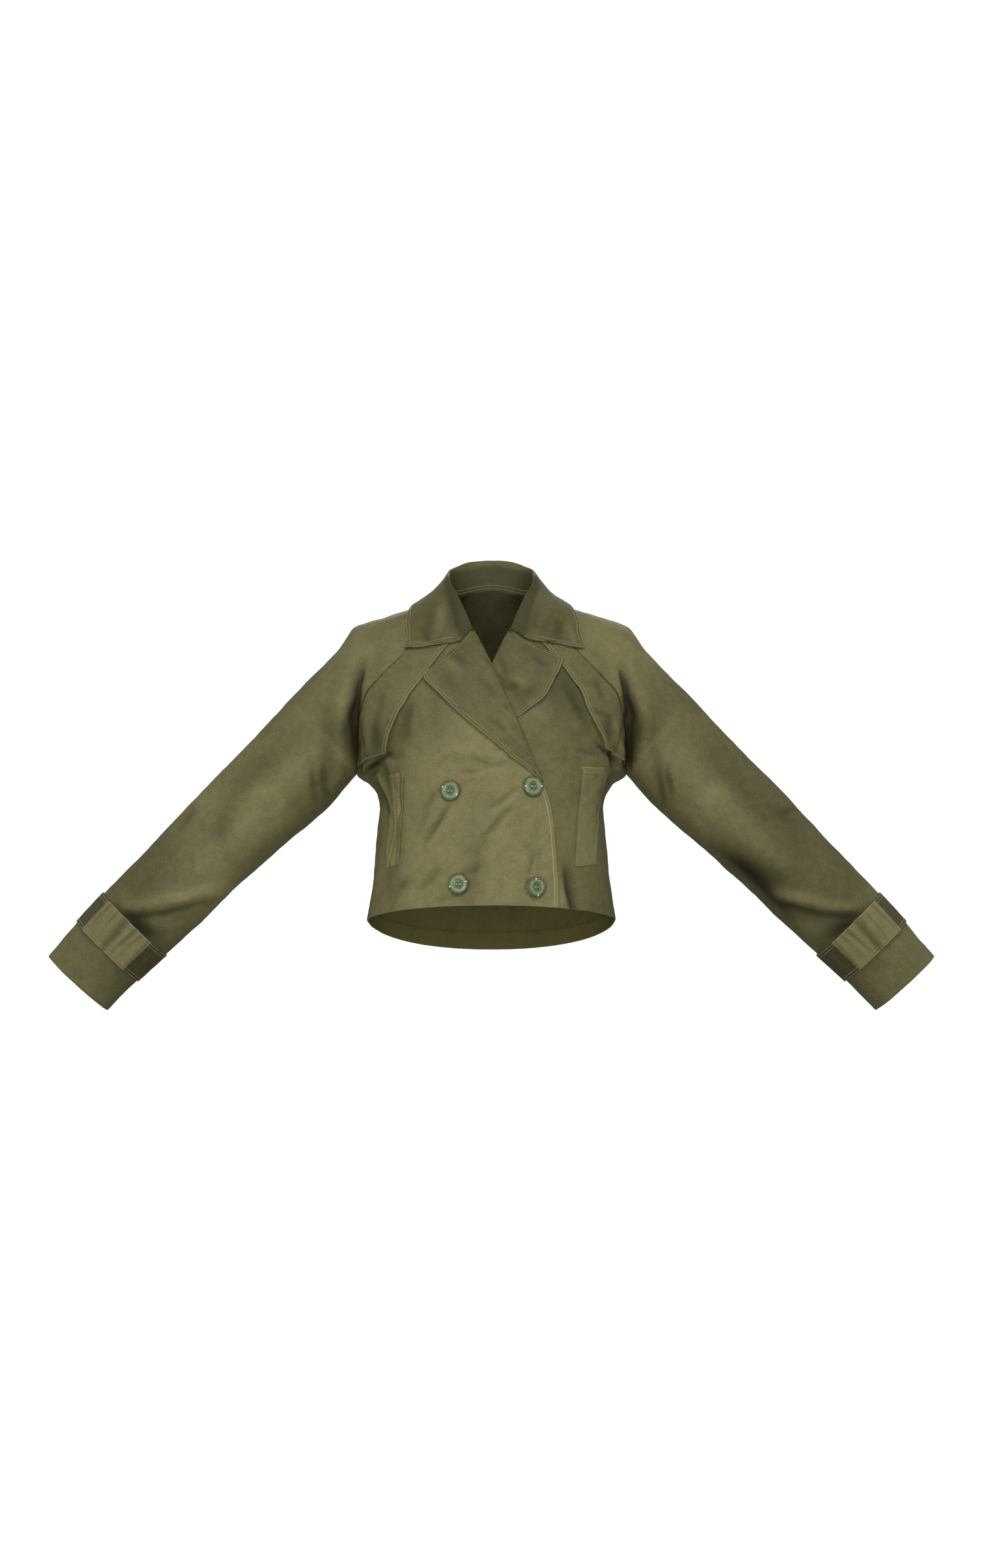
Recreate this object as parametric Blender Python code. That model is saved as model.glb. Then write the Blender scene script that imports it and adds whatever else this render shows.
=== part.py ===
"""Short trench coat: every wall of worn cloth as a panel, in millimetres.
+X is the viewer's right (the wearer's left), -Y the front, +Z up; the origin is the
middle of the neck base, where the wearer's shoulders hold it."""
import bpy
import numpy as np
from mathutils.bvhtree import BVHTree

MM = 0.001
GAP = 0.30          # room at every seam
WALL = 1.5          # twill with its turned edges
STRAP_WALL, FLAP_WALL, LAPEL_WALL, COLLAR_WALL = 1.8, 1.6, 1.6, 1.8

# Front half rings. t 0 = neck, 1 = underarm, 2 = hem.  C = centre front, F = raglan or
# side seam; turn = heading in plan at the seam, kc / kf = how far each end stays flat.
FRONT_ROWS = """
t     cy      cz     fx     fy     fz    turn  kc    kf
0.00  -86     -56    58     -38      0    55   0.28   22
0.25  -99     -88    90     -66    -33    42   0.42   32
0.50  -109   -120   124     -86    -75    30   0.48   42
0.70  -115.5 -148   160     -92   -113    30   0.50   48
0.80  -118.5 -166   177     -88   -135    44   0.52   52
0.90  -122   -192   189     -60   -183    66   0.56   56
1.00  -124.5 -224   193       2   -236    90   0.58   72
1.06  -125.5 -236   174       3   -250    90   0.60   76
1.14  -126   -254   162.5     3   -268    90   0.62   78
1.22  -126   -272   159.5     3   -286    90   0.62   78
1.38  -125.5 -302   162       3   -318    90   0.62   77
1.65  -124   -360   167       2   -374    90   0.61   75
2.00  -121   -430   176       0   -445    90   0.60   72
"""
# Back half rings, the same way: C = centre back, B = back raglan or side seam.
BACK_ROWS = """
t     cy      cz     fx     fy     fz    turn  kc    kf
0.00   75      45    48      58     34   -42   0.45   18
0.25   88      12    84      80    -12   -22   0.42   32
0.50   98     -32   122      92    -66   -25   0.48   42
0.70  104     -78   158      88   -112   -34   0.50   48
0.80  107    -106   175      78   -142   -46   0.52   50
0.90  110    -150   188      52   -188   -66   0.56   52
1.00  112    -215   193       2   -236   -90   0.58   62
1.06  112    -232   174       3   -250   -90   0.60   66
1.14  111    -256   162.5     3   -268   -90   0.62   66
1.22  110.5  -276   159.5     3   -286   -90   0.62   66
1.38  110    -312   162       3   -318   -90   0.62   66
1.65  111    -385   167       2   -374   -90   0.61   66
2.00  115    -482   176       0   -445   -90   0.66   76
"""
# Sleeve rings over the shoulder. S = top line; f.. = pull from the front seam,
# g.. = pull at the top to the front, h.. = at the top to the back, b.. = from the back seam.
YOKE_ROWS = """
t     sx    sy    sz    fx   fy   fz   gx   gy   gz   hx   hy   hz   bx   by   bz
0.00  64     6    24     3   15    9    0  -18   -5    0   18    3   10  -14   -3
0.25  106    8     8    18   18   16    0  -28   -3    0   28   -2   14  -18    8
0.50  152   10    -6    24   16   25    0  -38   -5    0   38   -4   18  -16   22
0.70  196   12   -20    24    6   32    5  -46  -12    4   46  -12   20   -6   30
0.80  223   14   -56    27  -10   24    0  -60   -8    0   58   -8   24    8   26
0.90  256   15   -91    16  -50   10    0  -74   -4    0   70   -4   16   46   12
1.00  296   15  -133     0  -80    0    0  -80    0    0   78    0    0   78    0
"""
# Sleeve rings below the underarm: S = top line, K = seam under the arm, df / db = depth.
SLEEVE_ROWS = """
t     sx    sy    sz    kx    ky    kz   df   db
1.00  296   15  -133   193     2  -236   60   58
1.14  344   18  -184   240     8  -287   60   58
1.29  393   22  -234   294    14  -333   58   56
1.47  455   27  -299   361    22  -392   55   53
1.62  503   31  -350   411    28  -440   52   50
1.77  556   36  -404   467    33  -491   49   47
1.88  593   40  -444   507    38  -527   47   45
2.00  636   45  -494   551    44  -571   44   42
"""
# Front edge of the right front: roll line down to the break, then the closing edge.
EDGE_ROWS = """
z     x
-20  -34
-42  -23
-91    0
-165  33
-235  62
-260  71
-288  81.5
-325  87
-365  90
-440  93
-470  94
"""
# Lapel rows: roll line point, outer edge point, how far it stands off the front.
LAPEL_RIGHT_ROWS = """
rx     rz     ox    oz    lift
-22.6 -43.5  -41.5  -59.5  4.0
-20   -49    -56    -74    4.5
-14   -62    -76    -94    5.0
-8    -75    -94   -112    5.5
 2    -96    -75   -134    5.0
 14  -123    -54   -156    4.5
 29  -157    -33   -175    4.0
 42  -188     -3   -199.5  3.5
 56  -221     24   -224    3.0
 65.5 -246     47   -241    2.0
"""
LAPEL_LEFT_ROWS = """
rx     rz     ox    oz    lift
 22.6 -43.5   44   -57.5   4.0
 20   -49     62   -68     4.5
 15   -60     84   -78     5.0
 10   -71     99.5 -87     5.5
 3    -86     95   -101    5.0
-4    -100    88   -114    4.5
-14   -124    75   -139    4.0
-24   -147    55   -156    3.5
-33   -168    28   -173    3.0
-42   -196    -22  -193    2.0
"""
# Storm flap free edge, from under the collar to its lower corner.
FLAP_RIGHT_ROWS = """
x     z
-52   -50
-68   -72
-94   -110
-116  -141
-131  -166
-141  -194
-147  -212
"""
FLAP_LEFT_ROWS = """
x     z
 64   -50
 80   -72
 99   -97
 115  -119
 127  -140
 138  -165
 150  -190
 158  -205
"""
FLAP_FOOT = 0.955        # ring where the foot of the flap is caught in the raglan seam
# Pocket welts: inner edge x, outer edge x at each height.
POCKET_RIGHT_ROWS = """
z     xi    xo
-243 -122  -147
-276 -122  -146
-308 -125  -146
-341 -128  -149
-372 -130  -153
"""
POCKET_LEFT_ROWS = """
z     xi    xo
-236  126   164
-276  122   156
-308  119   152
-341  117   149
-376  115   147
"""
# Collar stations from the centre back (0) by the raglan seam (2), top line (4) and
# front raglan seam (6) to the notch (8): r = the turn at the top, e = outer edge,
# bow = how far the leaf swells.
COLLAR_ROWS = """
a      rx   ry   rz   ex   ey   ez  bow
0.0     0   80   90    0  113   27   5
1.0    24   76   88   40  108   22   5
2.0    46   63   79   76   91   12   3
3.0    60   38   65   99   58    6   1.5
4.0    60   10   53  111   16    7   1.5
5.0    56  -14   36  118  -22  -16   3
6.0    46  -36   15  119  -56  -44   5
7.0    35  -56  -12  114  -82  -74   4
7.5    30  -64  -26   80  -88  -66   3
8.0    24  -71  -40   43  -83  -56.5 2
"""
NOTCH_C = 0.36           # where the gorge ends on the neck ring
BUTTONS = """
x      z
-56.5 -272
 57   -266
-45.5 -401
 60.7 -405
"""
BUTTON_R, BUTTON_T, BUTTON_RIM, BUTTON_DISH = 13.8, 3.2, 2.6, 0.9
HOLE_R, HOLE_AT = 1.1, 2.6
STRAP_FROM, STRAP_TO = 1.772, 1.885

# Folds: f = seen from the front, b = from the back; depth (minus = trough), half width,
# then the path in x and z.
FOLDS = """
f -8.0  7 -182 -84 -190 -120 -193 -158 -188 -200 -186 -226
f -8.0  7  184 -92  192 -134  195 -178  194 -226
f  3.0 10 -207 -110 -213 -160 -210 -215
f  3.0 10  209 -115  216 -165  214 -222
f -4.0  9 -229 -190 -234 -235 -240 -276
f -3.5  9  228 -195  236 -240  246 -285
f -3.0  5  188 -168  182 -190  175 -212
f  3.0  9 -168 -150 -172 -185 -168 -214
f -4.0  5 -167 -248 -155 -270 -143 -300
f  2.5  4 -160 -246 -149 -270 -138 -300
f -3.0  4 -156 -226 -149 -255 -143 -284
f -3.0  5  168 -252  158 -275  152 -302
f -3.0  8  -64 -297 -78 -322 -94 -349
f  2.5  8  -82 -304 -96 -324 -110 -343
f -3.2  8   35 -301  10 -326 -17 -350
f  2.2  9   50 -312  24 -336   0 -360
f -2.5  7  -74 -382 -88 -395 -102 -408
f -2.2  6 -106 -390 -118 -400 -131 -408
f -2.4  6  -75 -238 -52 -231 -30 -228 -12 -234 5 -238 25 -226
f  2.0  7  -70 -224 -40 -217 -10 -221 20 -214
f -2.2  6   50 -348  57 -362  60 -384
f -2.2  5  -36 -383 -26 -381 -12 -378
f -4.5  8  106 -374 112 -400 118 -446
f  3.5  8   94 -385  99 -410 104 -446
f -3.0 12 -135 -300 -138 -350 -150 -440
f -2.5 14  -20 -300 -26 -360 -30 -436
f -4.5 10 -372 -418 -444 -438 -520 -441
f -4.5 10  360 -405  420 -432  470 -446  510 -438
f  3.0 12 -350 -392 -430 -415 -520 -420
f  3.0 12  330 -388  400 -410  470 -425
f -4.0 14  300 -345  350 -388  405 -428
f -3.0  8  404 -286  421 -300  440 -306
f -2.5 18 -290 -190 -360 -262 -430 -335
f -2.5 18  300 -200  370 -275  440 -345
f  2.5 18 -262 -215 -330 -290 -400 -365
f  2.5 18  266 -220  335 -295  405 -370
f -2.0 10 -150 -60 -160 -85 -165 -110
f -2.0 10  150 -60  158 -85  162 -105
b -7.0  8 -182 -80 -192 -130 -195 -180 -190 -220
b -7.0  8  182 -82  192 -132  195 -182  190 -222
b  3.0 10 -209 -110 -216 -165 -214 -222
b  3.0 10  209 -112  216 -167  214 -224
b -3.5 10 -228 -190 -236 -235 -246 -280
b -3.5 10  229 -192  237 -237  247 -282
b -3.5  7 -164 -250 -152 -275 -136 -306
b -3.5  7  166 -252  152 -278  138 -310
b -3.0 10  -62 -300 -84 -330 -108 -352
b -3.0 10   55 -310   82 -340  104 -360
b  2.5 14    0 -180    4 -280    0 -380
b -3.5 14  -62 -360  -58 -410  -66 -470
b -3.5 14   52 -350   60 -410   58 -470
b -2.5 12  -10 -60  -30 -80  -60 -95
b -2.5 12   12 -64   34 -84   62 -98
b -4.0 10 -376 -414 -440 -436 -505 -440
b -4.0 10  372 -410  436 -434  503 -438
b -3.0 12 -390 -286 -424 -318 -440 -350
b -3.0 12  394 -290  426 -320  444 -352
b -2.5 18 -290 -190 -360 -262 -430 -335
b -2.5 18  292 -192  362 -264  432 -337
"""


def table(text):
    rows = [r.split() for r in text.strip().splitlines()]
    cols = list(zip(*[[float(v) for v in r] for r in rows[1:]]))
    return {n: np.array(c) for n, c in zip(rows[0], cols)}


def smooth(x, y, q):
    """Monotone cubic through the rows of a table: no overshoot between them."""
    h = np.diff(x)
    s = np.diff(y) / h
    d = np.zeros(len(x))
    for i in range(1, len(x) - 1):
        if s[i - 1] * s[i] > 0:
            a, b = 2 * h[i] + h[i - 1], h[i] + 2 * h[i - 1]
            d[i] = (a + b) / (a / s[i - 1] + b / s[i])
    d[0], d[-1] = s[0], s[-1]
    q = np.clip(q, x[0], x[-1])
    i = np.clip(np.searchsorted(x, q, side="right") - 1, 0, len(x) - 2)
    u = (q - x[i]) / h[i]
    return ((2 * u**3 - 3 * u**2 + 1) * y[i] + (u**3 - 2 * u**2 + u) * h[i] * d[i]
            + (3 * u**2 - 2 * u**3) * y[i + 1] + (u**3 - u**2) * h[i] * d[i + 1])


def at(tab, t, *names):
    k = next(iter(tab))
    return np.stack([smooth(tab[k], tab[n], t) for n in names], -1)


def bezier(a, b, c, d, u):
    u = u[..., None]
    return a * (1 - u)**3 + 3 * b * u * (1 - u)**2 + 3 * c * u**2 * (1 - u) + d * u**3


def unit(v):
    return v / np.maximum(np.linalg.norm(v, axis=-1, keepdims=True), 1e-9)


FRONT, BACK, YOKE, SLEEVE = map(table, (FRONT_ROWS, BACK_ROWS, YOKE_ROWS, SLEEVE_ROWS))
EDGE = table(EDGE_ROWS)


def torso(tab, c, t):
    """Point on the front or back at share c of the half ring (sign = side) and ring t."""
    c, t = np.broadcast_arrays(np.asarray(c, float), np.asarray(t, float))
    cy, cz, fx, fy, fz, turn, kc, kf = np.moveaxis(
        at(tab, t, "cy", "cz", "fx", "fy", "fz", "turn", "kc", "kf"), -1, 0)
    a = np.radians(turn)
    o = np.zeros_like(fx)
    p0 = np.stack([o, cy, cz], -1)
    p1 = np.stack([kc * fx, cy, cz], -1)
    p3 = np.stack([fx, fy, fz], -1)
    p2 = p3 - np.stack([kf * np.cos(a), kf * np.sin(a), 0.42 * (fz - cz)], -1)
    p = bezier(p0, p1, p2, p3, np.abs(c))
    p[..., 0] *= np.where(c < 0, -1, 1)
    return p


def sleeve(s, t, side):
    """Point on the sleeve: s 0 front seam, 0.5 top line, 1 back seam."""
    s, t = np.broadcast_arrays(np.asarray(s, float), np.asarray(t, float))
    up = np.minimum(t, 1.0)
    dn = np.maximum(t, 1.0)
    high = (t <= 1.0)[..., None]
    f = np.where(high, at(FRONT, up, "fx", "fy", "fz"), at(SLEEVE, dn, "kx", "ky", "kz"))
    b = np.where(high, at(BACK, up, "fx", "fy", "fz"), f)
    top = np.where(high, at(YOKE, up, "sx", "sy", "sz"), at(SLEEVE, dn, "sx", "sy", "sz"))
    o = np.zeros_like(t)
    df, db = np.moveaxis(at(SLEEVE, dn, "df", "db"), -1, 0)
    vf = np.where(high, at(YOKE, up, "fx", "fy", "fz"), np.stack([o, -df * 4 / 3, o], -1))
    vg = np.where(high, at(YOKE, up, "gx", "gy", "gz"), np.stack([o, -df * 4 / 3, o], -1))
    vh = np.where(high, at(YOKE, up, "hx", "hy", "hz"), np.stack([o, db * 4 / 3, o], -1))
    vb = np.where(high, at(YOKE, up, "bx", "by", "bz"), np.stack([o, db * 4 / 3, o], -1))
    p = np.where((s <= 0.5)[..., None],
                 bezier(f, f + vf, top + vg, top, np.clip(2 * s, 0, 1)),
                 bezier(top, top + vh, b + vb, b, np.clip(2 * s - 1, 0, 1)))
    p[..., 0] *= side
    return p


def facing(fn, u, v, out):
    """Outward normal of a surface, out = rough outward direction from the inside point."""
    e = 2e-3
    du = fn(np.clip(u + e, -1, 1), v) - fn(np.clip(u - e, -1, 1), v)
    dv = fn(u, np.clip(v + e, 0, 2)) - fn(u, np.clip(v - e, 0, 2))
    n = unit(np.cross(du, dv))
    flip = np.sum(n * out, -1, keepdims=True) < 0
    return np.where(flip, -n, n)


def axis_of(p, t, arm):
    """A point inside the coat beside p, to tell outside from inside."""
    if not arm:
        return np.stack([p[..., 0] * 0.55, p[..., 1] * 0, p[..., 2] - 25], -1)
    up, dn = np.minimum(t, 1.0), np.maximum(t, 1.0)
    a = at(YOKE, up, "sx", "sy", "sz") * [0.8, 1, 1] + [0, 0, -70]
    b = (at(SLEEVE, dn, "sx", "sy", "sz") + at(SLEEVE, dn, "kx", "ky", "kz")) / 2
    q = np.where((t < 1)[..., None], a + (b[..., :] - a) * (up**3)[..., None], b)
    return q * np.stack([np.sign(p[..., 0]), p[..., 0] * 0 + 1, p[..., 0] * 0 + 1], -1)


def front_n(c, t):
    p = torso(FRONT, c, t)
    return p, facing(lambda a, b: torso(FRONT, a, b), c, t, p - axis_of(p, t, False))


def back_n(c, t):
    p = torso(BACK, c, t)
    return p, facing(lambda a, b: torso(BACK, a, b), c, t, p - axis_of(p, t, False))


def sleeve_n(s, t, side):
    p = sleeve(s, t, side)
    return p, facing(lambda a, b: sleeve(np.clip(a, 0, 1), b, side), s, t,
                     p - axis_of(p, t, True))


def folds():
    out = []
    for row in FOLDS.strip().splitlines():
        w = row.split()
        v = np.array([float(q) for q in w[3:]]).reshape(-1, 2)
        out.append((-1 if w[0] == "f" else 1, float(w[1]), float(w[2]), v))
    return out


FOLD_LIST = folds()


def crease(p, n):
    """How far the folds push the cloth out at point p with facing n."""
    total = np.zeros(p.shape[:-1])
    q = p[..., [0, 2]]
    for way, depth, half, path in FOLD_LIST:
        best = np.full(q.shape[:-1], 1e9)
        share = np.zeros(q.shape[:-1])
        seg = np.linalg.norm(np.diff(path, axis=0), axis=1)
        run = np.concatenate([[0], np.cumsum(seg)])
        for i in range(len(seg)):
            d = path[i + 1] - path[i]
            u = np.clip(((q - path[i]) @ d) / (seg[i]**2), 0, 1)
            r = np.linalg.norm(q - path[i] - u[..., None] * d, axis=-1)
            near = r < best
            best = np.where(near, r, best)
            share = np.where(near, (run[i] + u * seg[i]) / run[-1], share)
        x = best / half
        face = np.clip(n[..., 1] * way / 0.45, 0, 1)
        fade = np.sin(np.pi * np.clip(0.06 + 0.88 * share, 0, 1))**0.6
        total += depth * np.exp(-0.5 * x * x) * (1 - 0.28 * x * x) * face * fade * (x < 4)
    return total


def edge_x(z):
    return smooth(EDGE["z"][::-1], EDGE["x"][::-1], z)


def inverse(side):
    """Where on the front a seen point x, z lies."""
    cs, ts = np.meshgrid(np.linspace(0, 1, 90), np.linspace(0, 2, 160), indexing="ij")
    grid = torso(FRONT, cs, ts)

    def find(x, z):
        x, z = abs(x), z
        k = np.argmin((grid[..., 0] - x)**2 + (grid[..., 2] - z)**2)
        c, t = cs.flat[k], ts.flat[k]
        for _ in range(8):
            p = torso(FRONT, c, t)
            a = (torso(FRONT, min(c + 1e-3, 1), t) - torso(FRONT, max(c - 1e-3, 0), t))
            b = (torso(FRONT, c, min(t + 1e-3, 2)) - torso(FRONT, c, max(t - 1e-3, 0)))
            a = a / (min(c + 1e-3, 1) - max(c - 1e-3, 0))
            b = b / (min(t + 1e-3, 2) - max(t - 1e-3, 0))
            m = np.array([[a[0], b[0]], [a[2], b[2]]])
            if abs(np.linalg.det(m)) < 1e-6:
                break
            dc, dt = np.linalg.solve(m, [x - p[0], z - p[2]])
            c = float(np.clip(c + np.clip(dc, -.05, .05), 0, 1))
            t = float(np.clip(t + np.clip(dt, -.05, .05), 0, 2))
        return c, t
    return find


FIND = inverse(1)


def on_front(x, z):
    """c (signed) and t of seen points x, z."""
    x, z = np.broadcast_arrays(np.asarray(x, float), np.asarray(z, float))
    r = np.array([FIND(a, b) for a, b in zip(x.ravel(), z.ravel())]).reshape(x.shape + (2,))
    return np.where(x < 0, -r[..., 0], r[..., 0]), r[..., 1]


def under(p):
    """The left front passes under the right one: how far it sits in."""
    d = p[..., 0] - edge_x(p[..., 2])
    u = np.clip((d - 3) / 30, 0, 1)
    return -5.0 * (1 - u * u * (3 - 2 * u))


PANEL, OUTER = {}, {}          # the built fronts and outer faces, for what lies on them


def laid(c, t, lift, side):
    """A point on a built front, moved out by lift along that front's own facing."""
    cols, rows, pts, nrm = PANEL[side]
    c, t, lift = np.broadcast_arrays(c, t, lift)
    g, m = np.zeros(c.shape + (3,)), np.zeros(c.shape + (3,))
    for k in np.ndindex(c.shape):
        i = int(np.clip(np.searchsorted(rows, t[k], side="right") - 1, 0, len(rows) - 2))
        u = (t[k] - rows[i]) / (rows[i + 1] - rows[i])
        for r, w in ((i, 1 - u), (i + 1, u)):
            a = cols[r] * np.sign(cols[r, 1] - cols[r, 0])
            x = c[k] * np.sign(cols[r, 1] - cols[r, 0])
            for d in range(3):
                g[k][d] += w * np.interp(x, a, pts[r, :, d])
                m[k][d] += w * np.interp(x, a, nrm[r, :, d])
    m = unit(m)
    return g + m * lift[..., None], m


# ------------------------------------------------------------------ seams and shells
def seam_frame(p, n):
    """Along, across and out at each row of a seam."""
    along = unit(np.gradient(p, axis=0))
    n = unit(n - np.sum(n * along, -1, keepdims=True) * along)
    return np.cross(along, n), n


def normals(g, closed=False):
    if closed:
        du = np.roll(g, -1, 1) - np.roll(g, 1, 1)
    else:
        du = np.gradient(g, axis=1)
    return unit(np.cross(du, np.gradient(g, axis=0)))


def shell(name, outer, wall, n=None, closed=False, inner=None):
    """A closed wall of cloth: outer grid, inner grid, and the edge between."""
    if n is None:
        n = normals(outer, closed)
    if inner is None:
        inner = outer - n * wall
    r, c = outer.shape[:2]
    verts = np.concatenate([outer.reshape(-1, 3), inner.reshape(-1, 3)]) * MM
    k = r * c
    faces = []
    span = c if closed else c - 1
    for i in range(r - 1):
        for j in range(span):
            a, b = i * c + j, i * c + (j + 1) % c
            d, e = a + c, (i + 1) * c + (j + 1) % c
            faces += [(a, b, e, d), (k + a, k + d, k + e, k + b)]
    for j in range(span):
        a, b = j, (j + 1) % c
        faces.append((a, k + a, k + b, b))
        a, b = (r - 1) * c + j, (r - 1) * c + (j + 1) % c
        faces.append((a, b, k + b, k + a))
    if not closed:
        for i in range(r - 1):
            a, b = i * c, (i + 1) * c
            faces.append((a, b, k + b, k + a))
            a, b = i * c + c - 1, (i + 1) * c + c - 1
            faces.append((a, k + a, k + b, b))
    vol = 0.0
    for f in faces:
        for q in range(1, len(f) - 1):
            vol += np.dot(verts[f[0]], np.cross(verts[f[q]], verts[f[q + 1]]))
    if vol < 0:
        faces = [f[::-1] for f in faces]
    me = bpy.data.meshes.new(name)
    me.from_pydata([tuple(v) for v in verts], [], faces)
    me.update()
    ob = bpy.data.objects.new(name, me)
    bpy.context.scene.collection.objects.link(ob)
    return ob


def cloth(p, n, low=None):
    off = crease(p, n)
    if low is not None:
        off = off + low(p)
    return p + n * off[..., None]


def outwards(g, n, closed=False):
    """Facing of the folded cloth, kept to the same side as the plain one."""
    m = normals(g, closed)
    m = np.where(np.sum(m * n, -1, keepdims=True) < 0, -m, m)
    return m


T_YOKE = np.concatenate([[0.003], np.linspace(0.1, 1.0, 12)])
T_BODY = np.array([1.035, 1.07, 1.11, 1.16, 1.22, 1.30, 1.39, 1.48, 1.57, 1.67, 1.77, 1.88, 2.0])
T_ARM = np.array([1.04, 1.08, 1.13, 1.19, 1.26, 1.33, 1.40, 1.47, 1.54, 1.61, 1.67, 1.72,
                  1.77, 1.825, 1.88, 1.94, 2.0])
T_TORSO = np.concatenate([T_YOKE, T_BODY])
T_SLEEVE = np.concatenate([T_YOKE, T_ARM])
NY = len(T_YOKE)
# columns across a sleeve half, closer together at the seam under the arm
ACROSS = {"f": np.linspace(0, 1, 10)**1.2, "b": np.linspace(0, 1, 7)**1.1}


def panel_front(side):
    """Right front side -1, left front side +1: seam first, closing edge last."""
    ends = []
    for t in T_TORSO:
        lo, hi = -1.0, 1.0
        for _ in range(40):
            mid = (lo + hi) / 2
            p = torso(FRONT, mid, t)
            if p[0] < edge_x(p[2]):
                lo = mid
            else:
                hi = mid
        ends.append((lo + hi) / 2)
    ends = np.array(ends)
    w = np.linspace(0, 1, 18)**0.92
    c = (-1 + (ends[:, None] + 1) * w[None, :])
    c[:, 0] = -1
    c = c * -side
    t = T_TORSO[:, None] + 0 * c
    return c, t


def seam_sets(side):
    """Shared normals and across-directions on every seam of one side."""
    s = {}
    ty, tb, ta = T_YOKE, T_BODY, T_ARM
    # raglan seams and side seam, one run from neck to hem
    for key, tab, s_at, nfun in (("f", FRONT, 0.0, front_n), ("b", BACK, 1.0, back_n)):
        p, na = nfun(side * np.ones(NY), ty)
        _, nb = sleeve_n(s_at + np.zeros(NY), ty, side)
        n = unit(na + nb)
        s[key] = (p, n)
    p, na = front_n(side * np.ones(len(tb)), tb)
    _, nb = back_n(side * np.ones(len(tb)), tb)
    s["side"] = (p, unit(na + nb))
    p, na = sleeve_n(np.zeros(len(ta)), ta, side)
    _, nb = sleeve_n(np.ones(len(ta)), ta, side)
    s["arm"] = (p, unit(na + nb))
    ts = T_SLEEVE
    p, na = sleeve_n(0.5 - 1e-4 + np.zeros(len(ts)), ts, side)
    _, nb = sleeve_n(0.5 + 1e-4 + np.zeros(len(ts)), ts, side)
    s["top"] = (p, unit(na + nb))
    # the underarm corner faces down and out, the same for all four panels
    u = unit(np.array([0.35 * side, 0.0, -0.94]))
    for key in ("f", "b"):
        p, n = s[key]
        n = n.copy()
        n[-1] = u
        n[-2] = unit(n[-2] + 0.5 * u)
        s[key] = (p, n)
    for key in ("side", "arm"):
        p, n = s[key]
        n = n.copy()
        n[0] = unit(n[0] + 0.7 * u)
        n[1] = unit(n[1] + 0.2 * u)
        s[key] = (p, n)
    return s


UNDERARM = np.array([193.0, 2.0, -236.0])


def pull(p, n, toward):
    """Move a seam row half a gap to its own panel's side."""
    along = unit(np.gradient(p, axis=0))
    across = unit(np.cross(along, n))
    sign = np.sign(np.sum(across * (toward - p), -1, keepdims=True))
    sign[sign == 0] = 1
    wide = 1 + 1.5 * np.exp(-np.linalg.norm(p - UNDERARM * np.sign(p[:, :1]) ** [1, 0, 0],
                                            axis=1) / 10)[:, None]
    return across * sign * wide * GAP / 2


def build_panel(name, p, n, edges, low=None, wall=WALL):
    """edges: (column, rows, seam points, seam normals)."""
    p, n = p.copy(), n.copy()
    shift = np.zeros_like(p)
    for col, rows, sp, sn in edges:
        inner = 1 if col == 0 else -2
        p[rows, col] = sp
        n[rows, col] = sn
        shift[rows, col] += pull(sp, sn, p[rows, inner])
        if len(sp) > NY and np.allclose(np.abs(sp[NY - 1]), np.abs(UNDERARM), atol=0.5):
            # four panels meet at the underarm: a little more room front to back
            way = 1.0 if p[..., 1].mean() > 20 or name.startswith("sleeve_back") else -1.0
            shift[NY - 1, col, 1] += 0.40 * way
            shift[NY, col, 1] += 0.25 * way
    g = cloth(p, n, low)
    m = outwards(g, n)
    for col, rows, sp, sn in edges:
        m[rows, col] = sn
    g = g + shift
    shell(name, g, wall, m)
    OUTER[name] = (g, m)
    return g, m


def make_coat():
    for side, word in ((-1, "right"), (1, "left")):
        s = seam_sets(side)
        c, t = panel_front(side)
        p, n = front_n(c, t)
        low = under if side > 0 else None
        sp = np.concatenate([s["f"][0], s["side"][0]])
        sn = np.concatenate([s["f"][1], s["side"][1]])
        g, m = build_panel("front_" + word, p, n, [(0, slice(None), sp, sn)], low)
        PANEL[side] = (c, T_TORSO, g, m)
        for part, a, b, key, end in (("sleeve_front_", 0.0, 0.5, "f", 0),
                                     ("sleeve_back_", 1.0, 0.5, "b", 0)):
            w = ACROSS[key]
            ss = a + (b - a) * w[None, :] + 0 * T_SLEEVE[:, None]
            tt = T_SLEEVE[:, None] + 0 * ss
            p, n = sleeve_n(ss, tt, side)
            sp = np.concatenate([s[key][0], s["arm"][0]])
            sn = np.concatenate([s[key][1], s["arm"][1]])
            build_panel(part + word, p, n, [(0, slice(None), sp, sn),
                                            (-1, slice(None), s["top"][0], s["top"][1])])
    l, r = seam_sets(-1), seam_sets(1)
    c = np.linspace(-1, 1, 19)[None, :] + 0 * T_TORSO[:, None]
    t = T_TORSO[:, None] + 0 * c
    p, n = back_n(c, t)
    edges = []
    for col, s in ((0, l), (-1, r)):
        edges.append((col, slice(None), np.concatenate([s["b"][0], s["side"][0]]),
                      np.concatenate([s["b"][1], s["side"][1]])))
    build_panel("back", p, n, edges)


def below(*keys):
    """The outer faces of built pieces, for what lies over them."""
    verts, faces = [], []
    for k in keys:
        g, m = OUTER[k]
        r, c = g.shape[:2]
        o = len(verts)
        verts += [tuple(v) for v in g.reshape(-1, 3)]
        for i in range(r - 1):
            for j in range(c - 1):
                n = np.cross(g[i + 1, j + 1] - g[i, j], g[i + 1, j] - g[i, j + 1])
                q = o + i * c + j
                f = (q, q + 1, q + c + 1, q + c)
                out = m[i, j] + m[i + 1, j + 1] + m[i, j + 1] + m[i + 1, j]
                faces.append(f if np.dot(n, out) > 0 else f[::-1])
    return BVHTree.FromPolygons(verts, faces)


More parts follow.
